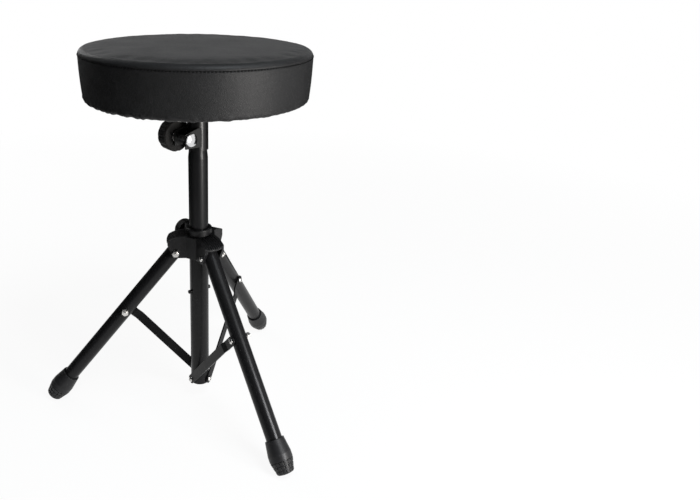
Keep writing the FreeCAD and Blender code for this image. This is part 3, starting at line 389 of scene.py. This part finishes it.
def artificial_leather(seat):
    """Embossed artificial leather: pebbled cells with fine creases between them, the valleys between the cells
    darkened as painted shade.
    """
    material, tree, shader = new_finish("black_artificial_leather", {"Specular IOR Level": 0.17})
    point = place_on_piece(tree)
    wander = add_node(tree, "ShaderNodeTexNoise",
                      {"Vector": point, "Scale": 1 / (4 * seat.grain), "Detail": 2.0}).outputs["Color"]
    shift = add_node(tree, "ShaderNodeVectorMath", {0: wander, "Scale": 0.9 * seat.grain}, operation="SCALE")
    pushed = add_node(tree, "ShaderNodeVectorMath", {0: point, 1: shift.outputs["Vector"]}, operation="ADD")
    cells = add_node(tree, "ShaderNodeTexVoronoi",
                     {"Vector": pushed.outputs["Vector"], "Scale": 1 / seat.grain},
                     feature="DISTANCE_TO_EDGE").outputs["Distance"]
    pebble = between(tree, cells, 0.0, 0.28, 0.0, 1.0)
    creases = mottle(tree, point, 5 * MM, 5.0)
    clouds = mottle(tree, point, 45 * MM, 4.0)
    skin = shades(tree, clouds, seat.leather_colour, 0.8, 1.2)
    # Painted shade: the valleys between the grain's cells are darkened.
    valley = between(tree, pebble, 0.0, 0.6, 0.6, 0.0)
    base = blend_colours(tree, valley, skin, lighter(seat.leather_colour, 0.45))
    cloudy = calculate(tree, "MULTIPLY", clouds, 0.5)
    wear = calculate(tree, "ADD", cloudy, calculate(tree, "MULTIPLY", pebble, -0.12))
    roughness = between(tree, wear, -0.1, 0.45, 0.40, 0.56)
    broad = raised(tree, creases, 0.22 * MM)
    connect(tree, shader, base, roughness, raised(tree, pebble, 0.08 * MM, broad))
    return material


def twisted_thread(seat):
    """Sewing thread with its twist."""
    material, tree, shader = new_finish("sewing_thread", {"Specular IOR Level": 0.08})
    strands = add_node(tree, "ShaderNodeTexWave", {"Vector": place_on_piece(tree), "Scale": 1 / (1.5 * MM),
                                                   "Distortion": 2.0}).outputs["Fac"]
    base = shades(tree, strands, seat.thread_colour, 0.6, 1.8)
    roughness = between(tree, strands, 0.0, 1.0, 0.55, 0.7)
    connect(tree, shader, base, roughness, raised(tree, strands, 0.08 * MM))
    return material


def felted_cloth(seat):
    """Non-woven dust cloth: pressed fibres with a pattern of weld points."""
    material, tree, shader = new_finish("felted_dust_cloth",
                                        {"Specular IOR Level": 0.2, "Sheen Weight": 0.15})
    point = place_on_piece(tree)
    fibres = mottle(tree, place_on_piece(tree, (0.25, 1.0, 1.0)), 0.9 * MM, 5.0)
    dots = add_node(tree, "ShaderNodeTexVoronoi", {"Vector": point, "Scale": 1 / (2.2 * MM),
                                                   "Randomness": 0.15}).outputs["Distance"]
    pressed = between(tree, dots, 0.12, 0.3, 0.0, 1.0)
    base = shades(tree, fibres, seat.cloth_colour, 0.6, 1.7)
    roughness = between(tree, pressed, 0.0, 1.0, 0.6, 0.95)
    felt = raised(tree, fibres, 0.15 * MM)
    connect(tree, shader, base, roughness, raised(tree, pressed, 0.12 * MM, felt))
    return material


def plywood(finish):
    """Birch plywood: long grain on its faces."""
    material, tree, shader = new_finish("plywood", {"Specular IOR Level": 0.3})
    grain = add_node(tree, "ShaderNodeTexWave", {"Vector": place_on_piece(tree, (0.15, 1.0, 1.0)),
                                                 "Scale": 1 / (14 * MM), "Distortion": 9.0,
                                                 "Detail": 3.0}).outputs["Fac"]
    base = shades(tree, grain, finish.wood, 0.75, 1.15)
    roughness = between(tree, grain, 0.0, 1.0, 0.6, 0.75)
    connect(tree, shader, base, roughness, raised(tree, grain, 0.1 * MM))
    return material


def open_foam(finish):
    """Open-celled foam."""
    material, tree, shader = new_finish("seat_foam", {"Specular IOR Level": 0.1})
    pores = add_node(tree, "ShaderNodeTexVoronoi",
                     {"Vector": place_on_piece(tree), "Scale": 1 / (1.2 * MM)}).outputs["Distance"]
    base = shades(tree, pores, finish.foam, 0.6, 1.0)
    roughness = between(tree, pores, 0.0, 1.0, 0.85, 1.0)
    connect(tree, shader, base, roughness, raised(tree, pores, 0.3 * MM))
    return material


def dress(names, material):
    """Gives these CAD nodes one finish."""
    for name in names:
        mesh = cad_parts[name].data
        mesh.materials.clear()
        mesh.materials.append(material)


# Meshes

def arc_between(start, end, radius, count):
    """Points from start to end, the last left out, on an arc that bulges to the right of the way there."""
    start = np.array(start, float)
    end = np.array(end, float)
    chord = end - start
    half = np.linalg.norm(chord) / 2
    along = chord / (2 * half)
    right = np.array([along[1], -along[0]])
    centre = (start + end) / 2 - right * math.sqrt(radius ** 2 - half ** 2)
    first = math.atan2(*(start - centre)[::-1])
    last = math.atan2(*(end - centre)[::-1])
    turn = (last - first) % (2 * math.pi)
    steps = first + turn * np.arange(count) / count
    return centre + radius * np.c_[np.cos(steps), np.sin(steps)]


def seat_outline(seat, inset):
    """The seat's half section from the hem's inner edge round to the middle of the top, as fine points.

    Returns the points as radius and height, and the index of the seam among them.
    """
    foot = SEAT_LOW.z + inset
    rim = seat.radius - inset
    foot_radius = rim - seat.draw_in
    seam_level = SEAT_LOW.z + seat.side_height
    roll_level = seam_level + seat.roll_height - inset
    rim_top = seam_level + seat.roll_height - seat.roll_round
    roll_radius = seat.radius - seat.roll_round
    crown_round = (roll_radius ** 2 + seat.crown ** 2) / (2 * seat.crown)
    hem_edge = np.array([foot_radius - seat.hem_width, foot])
    turn_start = np.array([foot_radius - seat.foot_round, foot])
    turn_end = np.array([foot_radius, foot + seat.foot_round])
    middle = (0.0, roll_level + seat.crown)
    below_seam = [np.linspace(hem_edge, turn_start, num=30, endpoint=False),
                  arc_between(turn_start, turn_end, seat.foot_round, count=20),
                  arc_between(turn_end, (rim, seam_level), seat.side_bow, count=80)]
    above_seam = [np.linspace((rim, seam_level), (rim, rim_top), num=20, endpoint=False),
                  arc_between((rim, rim_top), (roll_radius, roll_level), seat.roll_round - inset, count=30),
                  arc_between((roll_radius, roll_level), middle, crown_round, count=120)]
    seam = sum(len(part) for part in below_seam)
    return np.vstack(below_seam + above_seam + [middle]), seam


def mesh_piece(name, points, faces, material, smooth=True):
    """A new mesh object in the scene."""
    mesh = bpy.data.meshes.new(name)
    mesh.from_pydata([tuple(point) for point in points], [], [tuple(face) for face in faces])
    mesh.update()
    mesh.polygons.foreach_set("use_smooth", [smooth] * len(mesh.polygons))
    piece = bpy.data.objects.new(name, mesh)
    bpy.context.scene.collection.objects.link(piece)
    if material is not None:
        mesh.materials.append(material)
    return piece


def evenly_round(columns):
    """The turns of this many columns, evenly once round."""
    return np.arange(columns) * 2 * math.pi / columns


def circle(radius, level, turns):
    """Points at these turns on a circle. Its radius and level may differ from turn to turn."""
    return np.c_[radius * np.cos(turns), radius * np.sin(turns), np.full(len(turns), level)]


def ring_faces(rings, columns, first=0):
    """Faces between rings of points that each go once round."""
    faces = []
    for ring in range(rings - 1):
        low = first + ring * columns
        for column in range(columns):
            following = (column + 1) % columns
            faces.append((low + column, low + following, low + columns + following, low + columns + column))
    return faces


def lid(first, columns, flipped=False):
    """One face over the ring that starts at this point, or the same face flipped over."""
    ring = tuple(range(first, first + columns))
    return ring[::-1] if flipped else ring


def swelling(seat):
    """How the padding pushes the leather out, from a cloth simulation of a plain pad.

    Returns the pad's points before it swells, and how far each moves.
    """
    every = 6
    columns = 120
    cell = 5 * MM
    seam_hold = 5 * MM
    foot_hold = 4 * MM
    pressure = 4.0
    last_frame = 20

    outline, seam = seat_outline(seat, seat.skin_inset)
    coarse = outline[::every][:-1]
    turns = evenly_round(columns)
    points = np.vstack([circle(radius, level, turns) for radius, level in coarse])
    faces = ring_faces(len(coarse), columns)
    faces.append(lid(0, columns, flipped=True))
    faces.append(lid((len(coarse) - 1) * columns, columns))
    plain = mesh_piece("plain_pad", points, faces, None)
    remesh = plain.modifiers.new("Even cells", "REMESH")
    remesh.mode = "VOXEL"
    remesh.voxel_size = cell
    graph = bpy.context.evaluated_depsgraph_get()
    pad = bpy.data.objects.new("pad", bpy.data.meshes.new_from_object(plain.evaluated_get(graph)))
    bpy.context.scene.collection.objects.link(pad)
    before = np.array([vertex.co for vertex in pad.data.vertices])

    seam_radius, seam_level = outline[seam]
    radii = np.hypot(before[:, 0], before[:, 1])
    from_seam = np.hypot(radii - seam_radius, before[:, 2] - seam_level)
    held = pad.vertex_groups.new(name="held")
    for index in np.nonzero((from_seam < seam_hold) | (before[:, 2] < SEAT_LOW.z + foot_hold))[0]:
        held.add([int(index)], 1.0, "REPLACE")
    cloth = pad.modifiers.new("Swell", "CLOTH")
    cloth.settings.vertex_group_mass = held.name
    cloth.settings.use_pressure = True
    cloth.settings.uniform_pressure_force = pressure
    cloth.settings.effector_weights.gravity = 0.0
    cloth.collision_settings.use_collision = False
    for step in range(1, last_frame + 1):
        bpy.context.scene.frame_set(step)
    graph = bpy.context.evaluated_depsgraph_get()
    after = np.array([vertex.co for vertex in pad.evaluated_get(graph).data.vertices])
    bpy.context.scene.frame_set(1)
    bpy.data.objects.remove(pad)
    bpy.data.objects.remove(plain)

    move = after - before
    reach = np.linalg.norm(move, axis=1, keepdims=True)
    capped = seat.swell * np.tanh(reach / seat.swell)
    return before, move * capped / np.maximum(reach, 1e-9)


def carried(points, before, move, neighbours=10):
    """The move at each of these points, from the nearest points of the simulated pad."""
    blur = 2 * MM
    tree = KDTree(len(before))
    for index, place in enumerate(before):
        tree.insert(place, index)
    tree.balance()
    result = np.zeros_like(points)
    for row, point in enumerate(points):
        found = tree.find_n(point, neighbours)
        weights = np.array([1 / (distance + blur) ** 2 for _, _, distance in found])
        indices = [index for _, index, _ in found]
        result[row] = weights @ move[indices] / weights.sum()
    return result


def gathers(seat, turns):
    """Height of the gathers round the foot at each turn, from 0 to about 1."""
    chance = np.random.default_rng(7)
    count = int(2 * math.pi * seat.radius / seat.gather_pitch)
    centres = (np.arange(count) + chance.uniform(-0.35, 0.35, count)) * 2 * math.pi / count
    widths = chance.uniform(0.22, 0.42, count) * 2 * math.pi / count
    heights = chance.uniform(0.25, 1.0, count)
    facing = 0.5 + 0.5 * np.cos(centres - seat.gather_azimuth)
    heights *= 0.3 + 0.7 * facing ** 3
    total = np.zeros_like(turns)
    for centre, width, height in zip(centres, widths, heights):
        away = (turns - centre + math.pi) % (2 * math.pi) - math.pi
        total += height * np.exp(-(away / width) ** 2)
    return total


def seat_stations(seam_at, end):
    """Where the skin's rings lie along the outline, close together by the seam and on the rolled edge."""
    aside = np.array([0.25, 0.55, 0.9, 1.3, 1.8, 2.4, 3.2, 4.2]) * MM
    side_end = seam_at - 6 * MM
    roll_start = seam_at + 4.8 * MM
    roll_end = seam_at + 14 * MM
    top_end = end - 4 * MM
    return np.concatenate([
        np.linspace(0, side_end, num=36),
        seam_at + np.r_[-aside[::-1], 0.0, aside],
        np.linspace(roll_start, roll_end, num=20),
        np.linspace(roll_end, top_end, num=30)[1:],
    ])


def make_cushion(seat):
    """The padded seat: top, side band, sewn seam, gathered foot and hem, closed round the board."""
    columns = 480
    lip_place = 2.6 * MM
    lip_width = 1.4 * MM
    hem_edge = 3 * MM
    lump_size = 38 * MM
    lump_height = 0.35 * MM
    lumps_from = 40 * MM

    outline, seam = seat_outline(seat, seat.skin_inset)
    steps = np.r_[0, np.cumsum(np.linalg.norm(np.diff(outline, axis=0), axis=1))]
    stations = seat_stations(steps[seam], steps[-1])
    radii = np.interp(stations, steps, outline[:, 0])
    levels = np.interp(stations, steps, outline[:, 1])
    slope = np.gradient(np.c_[radii, levels], stations, axis=0)
    slope /= np.linalg.norm(slope, axis=1, keepdims=True)
    outward = np.c_[slope[:, 1], -slope[:, 0]]

    from_seam = np.abs(stations - steps[seam])
    valley = -seat.seam_depth * np.exp(-(from_seam / seat.seam_width) ** 1.5)
    lips = 0.2 * seat.seam_depth * np.exp(-((from_seam - lip_place) / lip_width) ** 2)
    climb = np.clip((stations - seat.hem_width) / seat.gather_climb, 0, 1)
    gathered = seat.gather_depth * (1 - climb) ** 2 * np.clip(stations / hem_edge, 0.2, 1)

    turns = evenly_round(columns)
    folds = gathers(seat, turns)
    points = []
    for ring, (radius, level) in enumerate(zip(radii, levels)):
        lift = valley[ring] + lips[ring] + gathered[ring] * folds
        points.append(circle(radius + lift * outward[ring, 0], level + lift * outward[ring, 1], turns))
    points = np.vstack(points)
    lumps = np.array([noise.noise(Vector(point) / lump_size) for point in points]) * lump_height
    lumps *= np.clip(np.repeat(stations, columns) / lumps_from, 0, 1)
    around = np.tile(turns, len(stations))
    sideways, upward = np.repeat(outward, columns, axis=0).T
    points += np.c_[sideways * np.cos(around), sideways * np.sin(around), upward] * lumps[:, None]
    before, move = swelling(seat)
    points += carried(points, before, move)

    board_side = BOARD_HIGH.x + 0.1 * MM
    board_top = BOARD_HIGH.z + 0.1 * MM
    board_under = BOARD_LOW.z - 0.05 * MM
    inside = ((board_side, board_top), (board_side, board_under), (radii[0], board_under))
    points = np.vstack([circle(radius, level, turns) for radius, level in inside] + [points])
    rings = len(inside) + len(stations)
    faces = ring_faces(rings, columns)
    last = (rings - 1) * columns
    middle = points[last:].mean(axis=0) + np.array([0, 0, 0.01 * MM])
    points = np.vstack([points, middle])
    faces += [(last + column, last + (column + 1) % columns, len(points) - 1) for column in range(columns)]
    faces.append(lid(0, columns, flipped=True))
    cushion = mesh_piece("seat_cushion", points, faces, artificial_leather(seat))
    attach(cushion, "seat")
    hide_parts("seat_cover", "seat_foam")


def make_stitches(seat):
    """One row of thread in the seam, a short bead for each stitch."""
    level = SEAT_LOW.z + seat.side_height
    radius = seat.radius - seat.skin_inset - seat.seam_depth + 0.7 * seat.thread
    count = int(round(2 * math.pi * radius / seat.stitch_pitch))
    sides = 8
    stops = np.array([-0.38, -0.34, -0.22, 0.0, 0.22, 0.34, 0.38])
    girth = np.array([0.15, 0.65, 0.95, 1.0, 0.95, 0.65, 0.15]) * seat.thread / 2
    dip = np.array([0.45, 0.25, 0.05, 0.0, 0.05, 0.25, 0.45]) * seat.thread
    slant = 0.22 * seat.thread * np.array([-1, -0.9, -0.6, 0, 0.6, 0.9, 1])
    points = []
    faces = []
    for stitch in range(count):
        first = len(points)
        for stop, size, sink, rise in zip(stops, girth, dip, slant):
            turn = (stitch + stop) * 2 * math.pi / count
            for spoke in evenly_round(sides):
                out = radius - sink + size * math.cos(spoke)
                up = level + rise + size * math.sin(spoke)
                points.append((out * math.cos(turn), out * math.sin(turn), up))
        faces += ring_faces(len(stops), sides, first)
        faces.append(lid(first, sides, flipped=True))
        faces.append(lid(first + (len(stops) - 1) * sides, sides))
    stitches = mesh_piece("seat_stitches", points, faces, twisted_thread(seat))
    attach(stitches, "seat")


def make_dust_cloth(seat):
    """The cloth that closes the underside, drawn flat over the board with a little slack."""
    radius = CLOTH_HIGH.x
    middle = (CLOTH_LOW.z + CLOTH_HIGH.z) / 2
    columns = 144
    plate_reach = 88 * MM
    over_middle = 0.1 * MM
    ripples_round = 9
    ripple_length = 12 * MM
    radii = np.r_[np.linspace(4 * MM, 80 * MM, num=8), np.linspace(84 * MM, radius, num=14)]
    turns = evenly_round(columns)
    points = []
    for ring in radii:
        share = np.clip((ring - plate_reach) / (radius - plate_reach), 0, 1)
        hang = seat.cloth_sag * math.sin(math.pi * share)
        places = circle(ripples_round, ring / ripple_length, turns)
        ripple = np.array([noise.noise(Vector(place)) for place in places])
        points.append(circle(ring, middle + over_middle - hang * (0.75 + 0.5 * ripple), turns))
    faces = ring_faces(len(radii), columns)
    faces.append(lid(0, columns, flipped=True))
    cloth = mesh_piece("dust_cloth", np.vstack(points), faces, felted_cloth(seat))
    thick = cloth.modifiers.new("Thickness", "SOLIDIFY")
    thick.thickness = 0.3 * MM
    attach(cloth, "seat")
    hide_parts("seat_dust_cloth")


def make_weld(finish, paint):
    """The rippled bead that joins the sleeve to the plate, under the same paint."""
    radius = SLEEVE_HIGH.x
    level = SLEEVE_HIGH.z
    columns = 168
    ripples = 34
    sunk = 0.15 * MM
    into_plate = 0.1 * MM
    turns = evenly_round(columns)
    scales = (turns * ripples / (2 * math.pi)) % 1.0
    leg = finish.weld * (0.86 + 0.14 * np.sin(math.pi * scales) + 0.08 * np.sin(5 * turns))
    points = []
    for share in np.linspace(0, 1, num=6):
        swell = 0.18 * leg * math.sin(math.pi * share)
        out = leg * (1 - share) + swell - sunk
        down = leg * share + swell - sunk
        points.append(circle(radius + out, level - down, turns))
    points.append(circle(radius - sunk, level + into_plate, turns))
    faces = [tuple(reversed(face)) for face in ring_faces(len(points), columns)]
    last = (len(points) - 1) * columns
    for column in range(columns):
        following = (column + 1) % columns
        faces.append((column, following, last + following, last + column))
    bead = mesh_piece("sleeve_weld", np.vstack(points), faces, paint)
    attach(bead, "seat")


# Stage

def make_floor(stage):
    """A wide pale floor that keeps the stool's shadow, turned up far off as a backdrop."""
    columns = 96
    floor_radius = 30.0
    floor_level = -0.05 * MM
    wall_radius = 31.0
    wall_height = 12.0
    turns = evenly_round(columns)
    points = np.vstack([circle(floor_radius, floor_level, turns), circle(wall_radius, wall_height, turns)])
    material = bpy.data.materials.new("pale_floor")
    material.use_nodes = True
    tree = material.node_tree
    tree.nodes.clear()
    clouds = mottle(tree, place_on_piece(tree), 0.8, 3.0)
    tone = shades(tree, clouds, stage.floor_colour, 0.98, 1.0)
    matt = add_node(tree, "ShaderNodeBsdfDiffuse", {"Color": tone})
    white = add_node(tree, "ShaderNodeEmission", {"Color": (*WHITE, 1.0), "Strength": 1.0})
    path = add_node(tree, "ShaderNodeLightPath")
    seen = calculate(tree, "MAXIMUM", path.outputs["Is Camera Ray"], path.outputs["Is Glossy Ray"])
    seen = calculate(tree, "MAXIMUM", seen, path.outputs["Is Transmission Ray"])
    reach = add_node(tree, "ShaderNodeVectorMath", {0: place_on_piece(tree)}, operation="LENGTH")
    glow = between(tree, reach.outputs["Value"], stage.floor_near, stage.floor_far, stage.floor_glow, 1.0)
    share = calculate(tree, "MULTIPLY", seen, glow)
    mix = add_node(tree, "ShaderNodeMixShader",
                   {0: share, 1: matt.outputs["BSDF"], 2: white.outputs["Emission"]})
    add_node(tree, "ShaderNodeOutputMaterial", {"Surface": mix.outputs["Shader"]})
    faces = [lid(0, columns)] + ring_faces(2, columns)
    floor = mesh_piece("floor", points, faces, material, smooth=False)


def make_lamp(name, place, target, width, height, power, tone=WHITE):
    """A soft box that faces the target and that the camera doesn't see."""
    lamp = bpy.data.lights.new(name, "AREA")
    lamp.shape = "RECTANGLE"
    lamp.size = width
    lamp.size_y = height
    lamp.energy = power
    lamp.color = tone
    holder = bpy.data.objects.new(name, lamp)
    holder.location = place
    holder.rotation_euler = (Vector(target) - Vector(place)).to_track_quat("-Z", "Y").to_euler()
    holder.visible_camera = False
    bpy.context.scene.collection.objects.link(holder)
    return holder


def light_only(holder, names):
    """Makes a lamp light only these CAD nodes."""
    lit = bpy.data.collections.new(f"{holder.name}_lights")
    for name in names:
        lit.objects.link(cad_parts[name])
    holder.light_linking.receiver_collection = lit


def make_flag(name, start, end, height, tone):
    """A dark upright board, which shows only in the gloss of the stool."""
    points = [(*start, 0.0), (*end, 0.0), (*end, height), (*start, height)]
    material, tree, shader = new_finish(name, {"Roughness": 0.9, "Specular IOR Level": 0.1})
    weave = mottle(tree, place_on_piece(tree), 4 * MM, 2.0)
    tree.links.new(shades(tree, weave, tone, 0.7, 1.0), shader.inputs["Base Color"])
    flag = mesh_piece(name, points, [(0, 1, 2, 3)], material, smooth=False)
    flag.visible_camera = False
    flag.visible_diffuse = False
    flag.visible_shadow = False


def make_sky(stage):
    """Even pale light from all round."""
    world = bpy.data.worlds.new("studio")
    world.use_nodes = True
    background = world.node_tree.nodes["Background"]
    background.inputs["Color"].default_value = (*WHITE, 1.0)
    background.inputs["Strength"].default_value = stage.sky
    bpy.context.scene.world = world


def make_camera(stage):
    """The camera at the photograph's viewing angle."""
    level = math.cos(stage.pitch)
    forward = Vector((math.sin(stage.yaw) * level, math.cos(stage.yaw) * level, -math.sin(stage.pitch)))
    level_right = forward.cross(Vector((0, 0, 1))).normalized()
    level_down = forward.cross(level_right)
    right = level_right * math.cos(stage.roll) + level_down * math.sin(stage.roll)
    down = level_down * math.cos(stage.roll) - level_right * math.sin(stage.roll)
    data = bpy.data.cameras.new("camera")
    data.sensor_fit = "HORIZONTAL"
    data.sensor_width = SENSOR_WIDTH
    data.lens = stage.focal / PHOTO_WIDTH * SENSOR_WIDTH
    data.shift_x = (PHOTO_WIDTH / 2 - stage.centre) / PHOTO_WIDTH
    data.shift_y = (stage.middle - PHOTO_HEIGHT / 2) / PHOTO_WIDTH
    data.clip_start = 0.01
    data.clip_end = 100.0
    camera = bpy.data.objects.new("camera", data)
    turn = Matrix((right, -down, -forward)).transposed()
    camera.matrix_world = Matrix.Translation(Vector(stage.camera_place)) @ turn.to_4x4()
    bpy.context.scene.collection.objects.link(camera)
    bpy.context.scene.camera = camera


# Operators and panel

class STOOL_OT_stand(bpy.types.Operator):
    """Paint the tubes, braces and seat mount, and lay the weld under the plate"""
    bl_idname = "drum_stool.stand"
    bl_label = "Paint the Stand"

    def execute(self, context):
        finish = context.scene.stool_finish
        glossy = powder_coat(finish, "glossy_black_paint", finish.mount_shine)
        dress(PAINTED_NODES, powder_coat(finish, "satin_black_paint", finish.stand_shine))
        dress(BRACE_NODES, powder_coat(finish, "dull_black_paint", finish.brace_shine))
        dress(GLOSSY_NODES, glossy)
        make_weld(finish, glossy)
        return {"FINISHED"}


class STOOL_OT_hub(bpy.types.Operator):
    """Finish the hub's moulding and the two knobs"""
    bl_idname = "drum_stool.hub"
    bl_label = "Finish Hub and Knobs"

    def execute(self, context):
        finish = context.scene.stool_finish
        dress(HUB_NODES, hub_plastic(finish))
        dress(KNOB_NODES, knob_plastic(finish))
        return {"FINISHED"}


class STOOL_OT_feet(bpy.types.Operator):
    """Finish the rubber feet"""
    bl_idname = "drum_stool.feet"
    bl_label = "Finish Feet"

    def execute(self, context):
        dress(FOOT_NODES, foot_rubber(context.scene.stool_finish))
        return {"FINISHED"}


class STOOL_OT_fasteners(bpy.types.Operator):
    """Plate the bolts, nuts, staples and the clamp bolt"""
    bl_idname = "drum_stool.fasteners"
    bl_label = "Plate Fasteners"

    def execute(self, context):
        finish = context.scene.stool_finish
        dress(ZINC_NODES, plated("zinc_plate", finish.zinc, 0.22, 0.38, 0.02 * MM))
        dress(["clamp_bolt"], plated("chrome_plate", finish.chrome, 0.07, 0.16, 0.004 * MM))
        dress(["clamp_knob_insert"], plated("turned_brass", finish.brass, 0.25, 0.4, 0.02 * MM))
        return {"FINISHED"}


class STOOL_OT_cushion(bpy.types.Operator):
    """Make the padded seat from a cloth simulation, with its sewn seam and gathered foot"""
    bl_idname = "drum_stool.cushion"
    bl_label = "Make Cushion"

    def execute(self, context):
        seat = context.scene.stool_seat
        finish = context.scene.stool_finish
        make_cushion(seat)
        make_stitches(seat)
        dress(["seat_cover"], artificial_leather(seat))
        dress(["seat_foam"], open_foam(finish))
        return {"FINISHED"}


class STOOL_OT_underside(bpy.types.Operator):
    """Make the dust cloth and finish the board above it"""
    bl_idname = "drum_stool.underside"
    bl_label = "Make Underside"

    def execute(self, context):
        seat = context.scene.stool_seat
        make_dust_cloth(seat)
        dress(["seat_dust_cloth"], felted_cloth(seat))
        dress(["seat_board"], plywood(context.scene.stool_finish))
        return {"FINISHED"}


class STOOL_OT_stage(bpy.types.Operator):
    """Set up the floor, lamps, flags and camera"""
    bl_idname = "drum_stool.stage"
    bl_label = "Set Up Stage"

    def execute(self, context):
        stage = context.scene.stool_stage
        make_floor(stage)
        make_sky(stage)
        middle = (0.0, 0.0, 0.3)
        front_foot = (0.1, -0.17, 0.05)
        make_lamp("key_lamp", place=(0.88, -0.82, 0.29), target=middle, width=0.24, height=0.54,
                  power=stage.key_power, tone=(1.0, 0.97, 0.94))
        make_lamp("top_lamp", place=(0.45, -0.55, 1.55), target=middle, width=0.45, height=0.45,
                  power=stage.top_power, tone=(0.88, 0.95, 1.0))
        make_lamp("fill_lamp", place=(-0.85, 0.95, 0.8), target=middle, width=0.7, height=0.7,
                  power=stage.fill_power)
        streak = make_lamp("streak_lamp", place=(0.87, -1.08, 0.79), target=front_foot, width=0.16,
                           height=0.3, power=stage.streak_power, tone=(0.95, 0.96, 1.0))
        light_only(streak, PAINTED_NODES + FOOT_NODES)
        make_flag("left_flag", start=(-0.5, -0.6), end=(-0.5, 0.6), height=1.0, tone=stage.flag_colour)
        make_flag("front_flag", start=(-0.5, -0.6), end=(0.2, -0.6), height=1.0, tone=stage.flag_colour)
        make_flag("back_flag", start=(-0.5, 0.45), end=(0.55, 0.45), height=0.53, tone=stage.flag_colour)
        make_flag("right_flag", start=(0.55, 0.0), end=(0.55, 0.45), height=1.0, tone=stage.flag_colour)
        make_camera(stage)
        context.scene.view_settings.view_transform = "Standard"
        return {"FINISHED"}


class STOOL_PT_sidebar(bpy.types.Panel):
    """Drum stool tools"""
    bl_idname = "STOOL_PT_sidebar"
    bl_label = "Drum Stool"
    bl_space_type = "VIEW_3D"
    bl_region_type = "UI"
    bl_category = "Drum Stool"

    def draw(self, context):
        for settings in (context.scene.stool_seat, context.scene.stool_finish, context.scene.stool_stage):
            box = self.layout.box()
            for name in settings.__annotations__:
                box.prop(settings, name)
        for operator in OPERATORS:
            self.layout.operator(operator.bl_idname)


SETTINGS = {"stool_seat": SeatSettings, "stool_finish": FinishSettings, "stool_stage": StageSettings}
OPERATORS = (STOOL_OT_stand, STOOL_OT_hub, STOOL_OT_feet, STOOL_OT_fasteners, STOOL_OT_cushion,
             STOOL_OT_underside, STOOL_OT_stage)


def register():
    for name, group in SETTINGS.items():
        bpy.utils.register_class(group)
        setattr(bpy.types.Scene, name, PointerProperty(type=group))
    for operator in OPERATORS:
        bpy.utils.register_class(operator)
    bpy.utils.register_class(STOOL_PT_sidebar)


def unregister():
    bpy.utils.unregister_class(STOOL_PT_sidebar)
    for operator in reversed(OPERATORS):
        bpy.utils.unregister_class(operator)
    for name, group in SETTINGS.items():
        delattr(bpy.types.Scene, name)
        bpy.utils.unregister_class(group)


def main():
    register()
    bpy.ops.drum_stool.stand()
    bpy.ops.drum_stool.hub()
    bpy.ops.drum_stool.feet()
    bpy.ops.drum_stool.fasteners()
    bpy.ops.drum_stool.cushion()
    bpy.ops.drum_stool.underside()
    bpy.ops.drum_stool.stage()


if __name__ == "__main__":
    main()
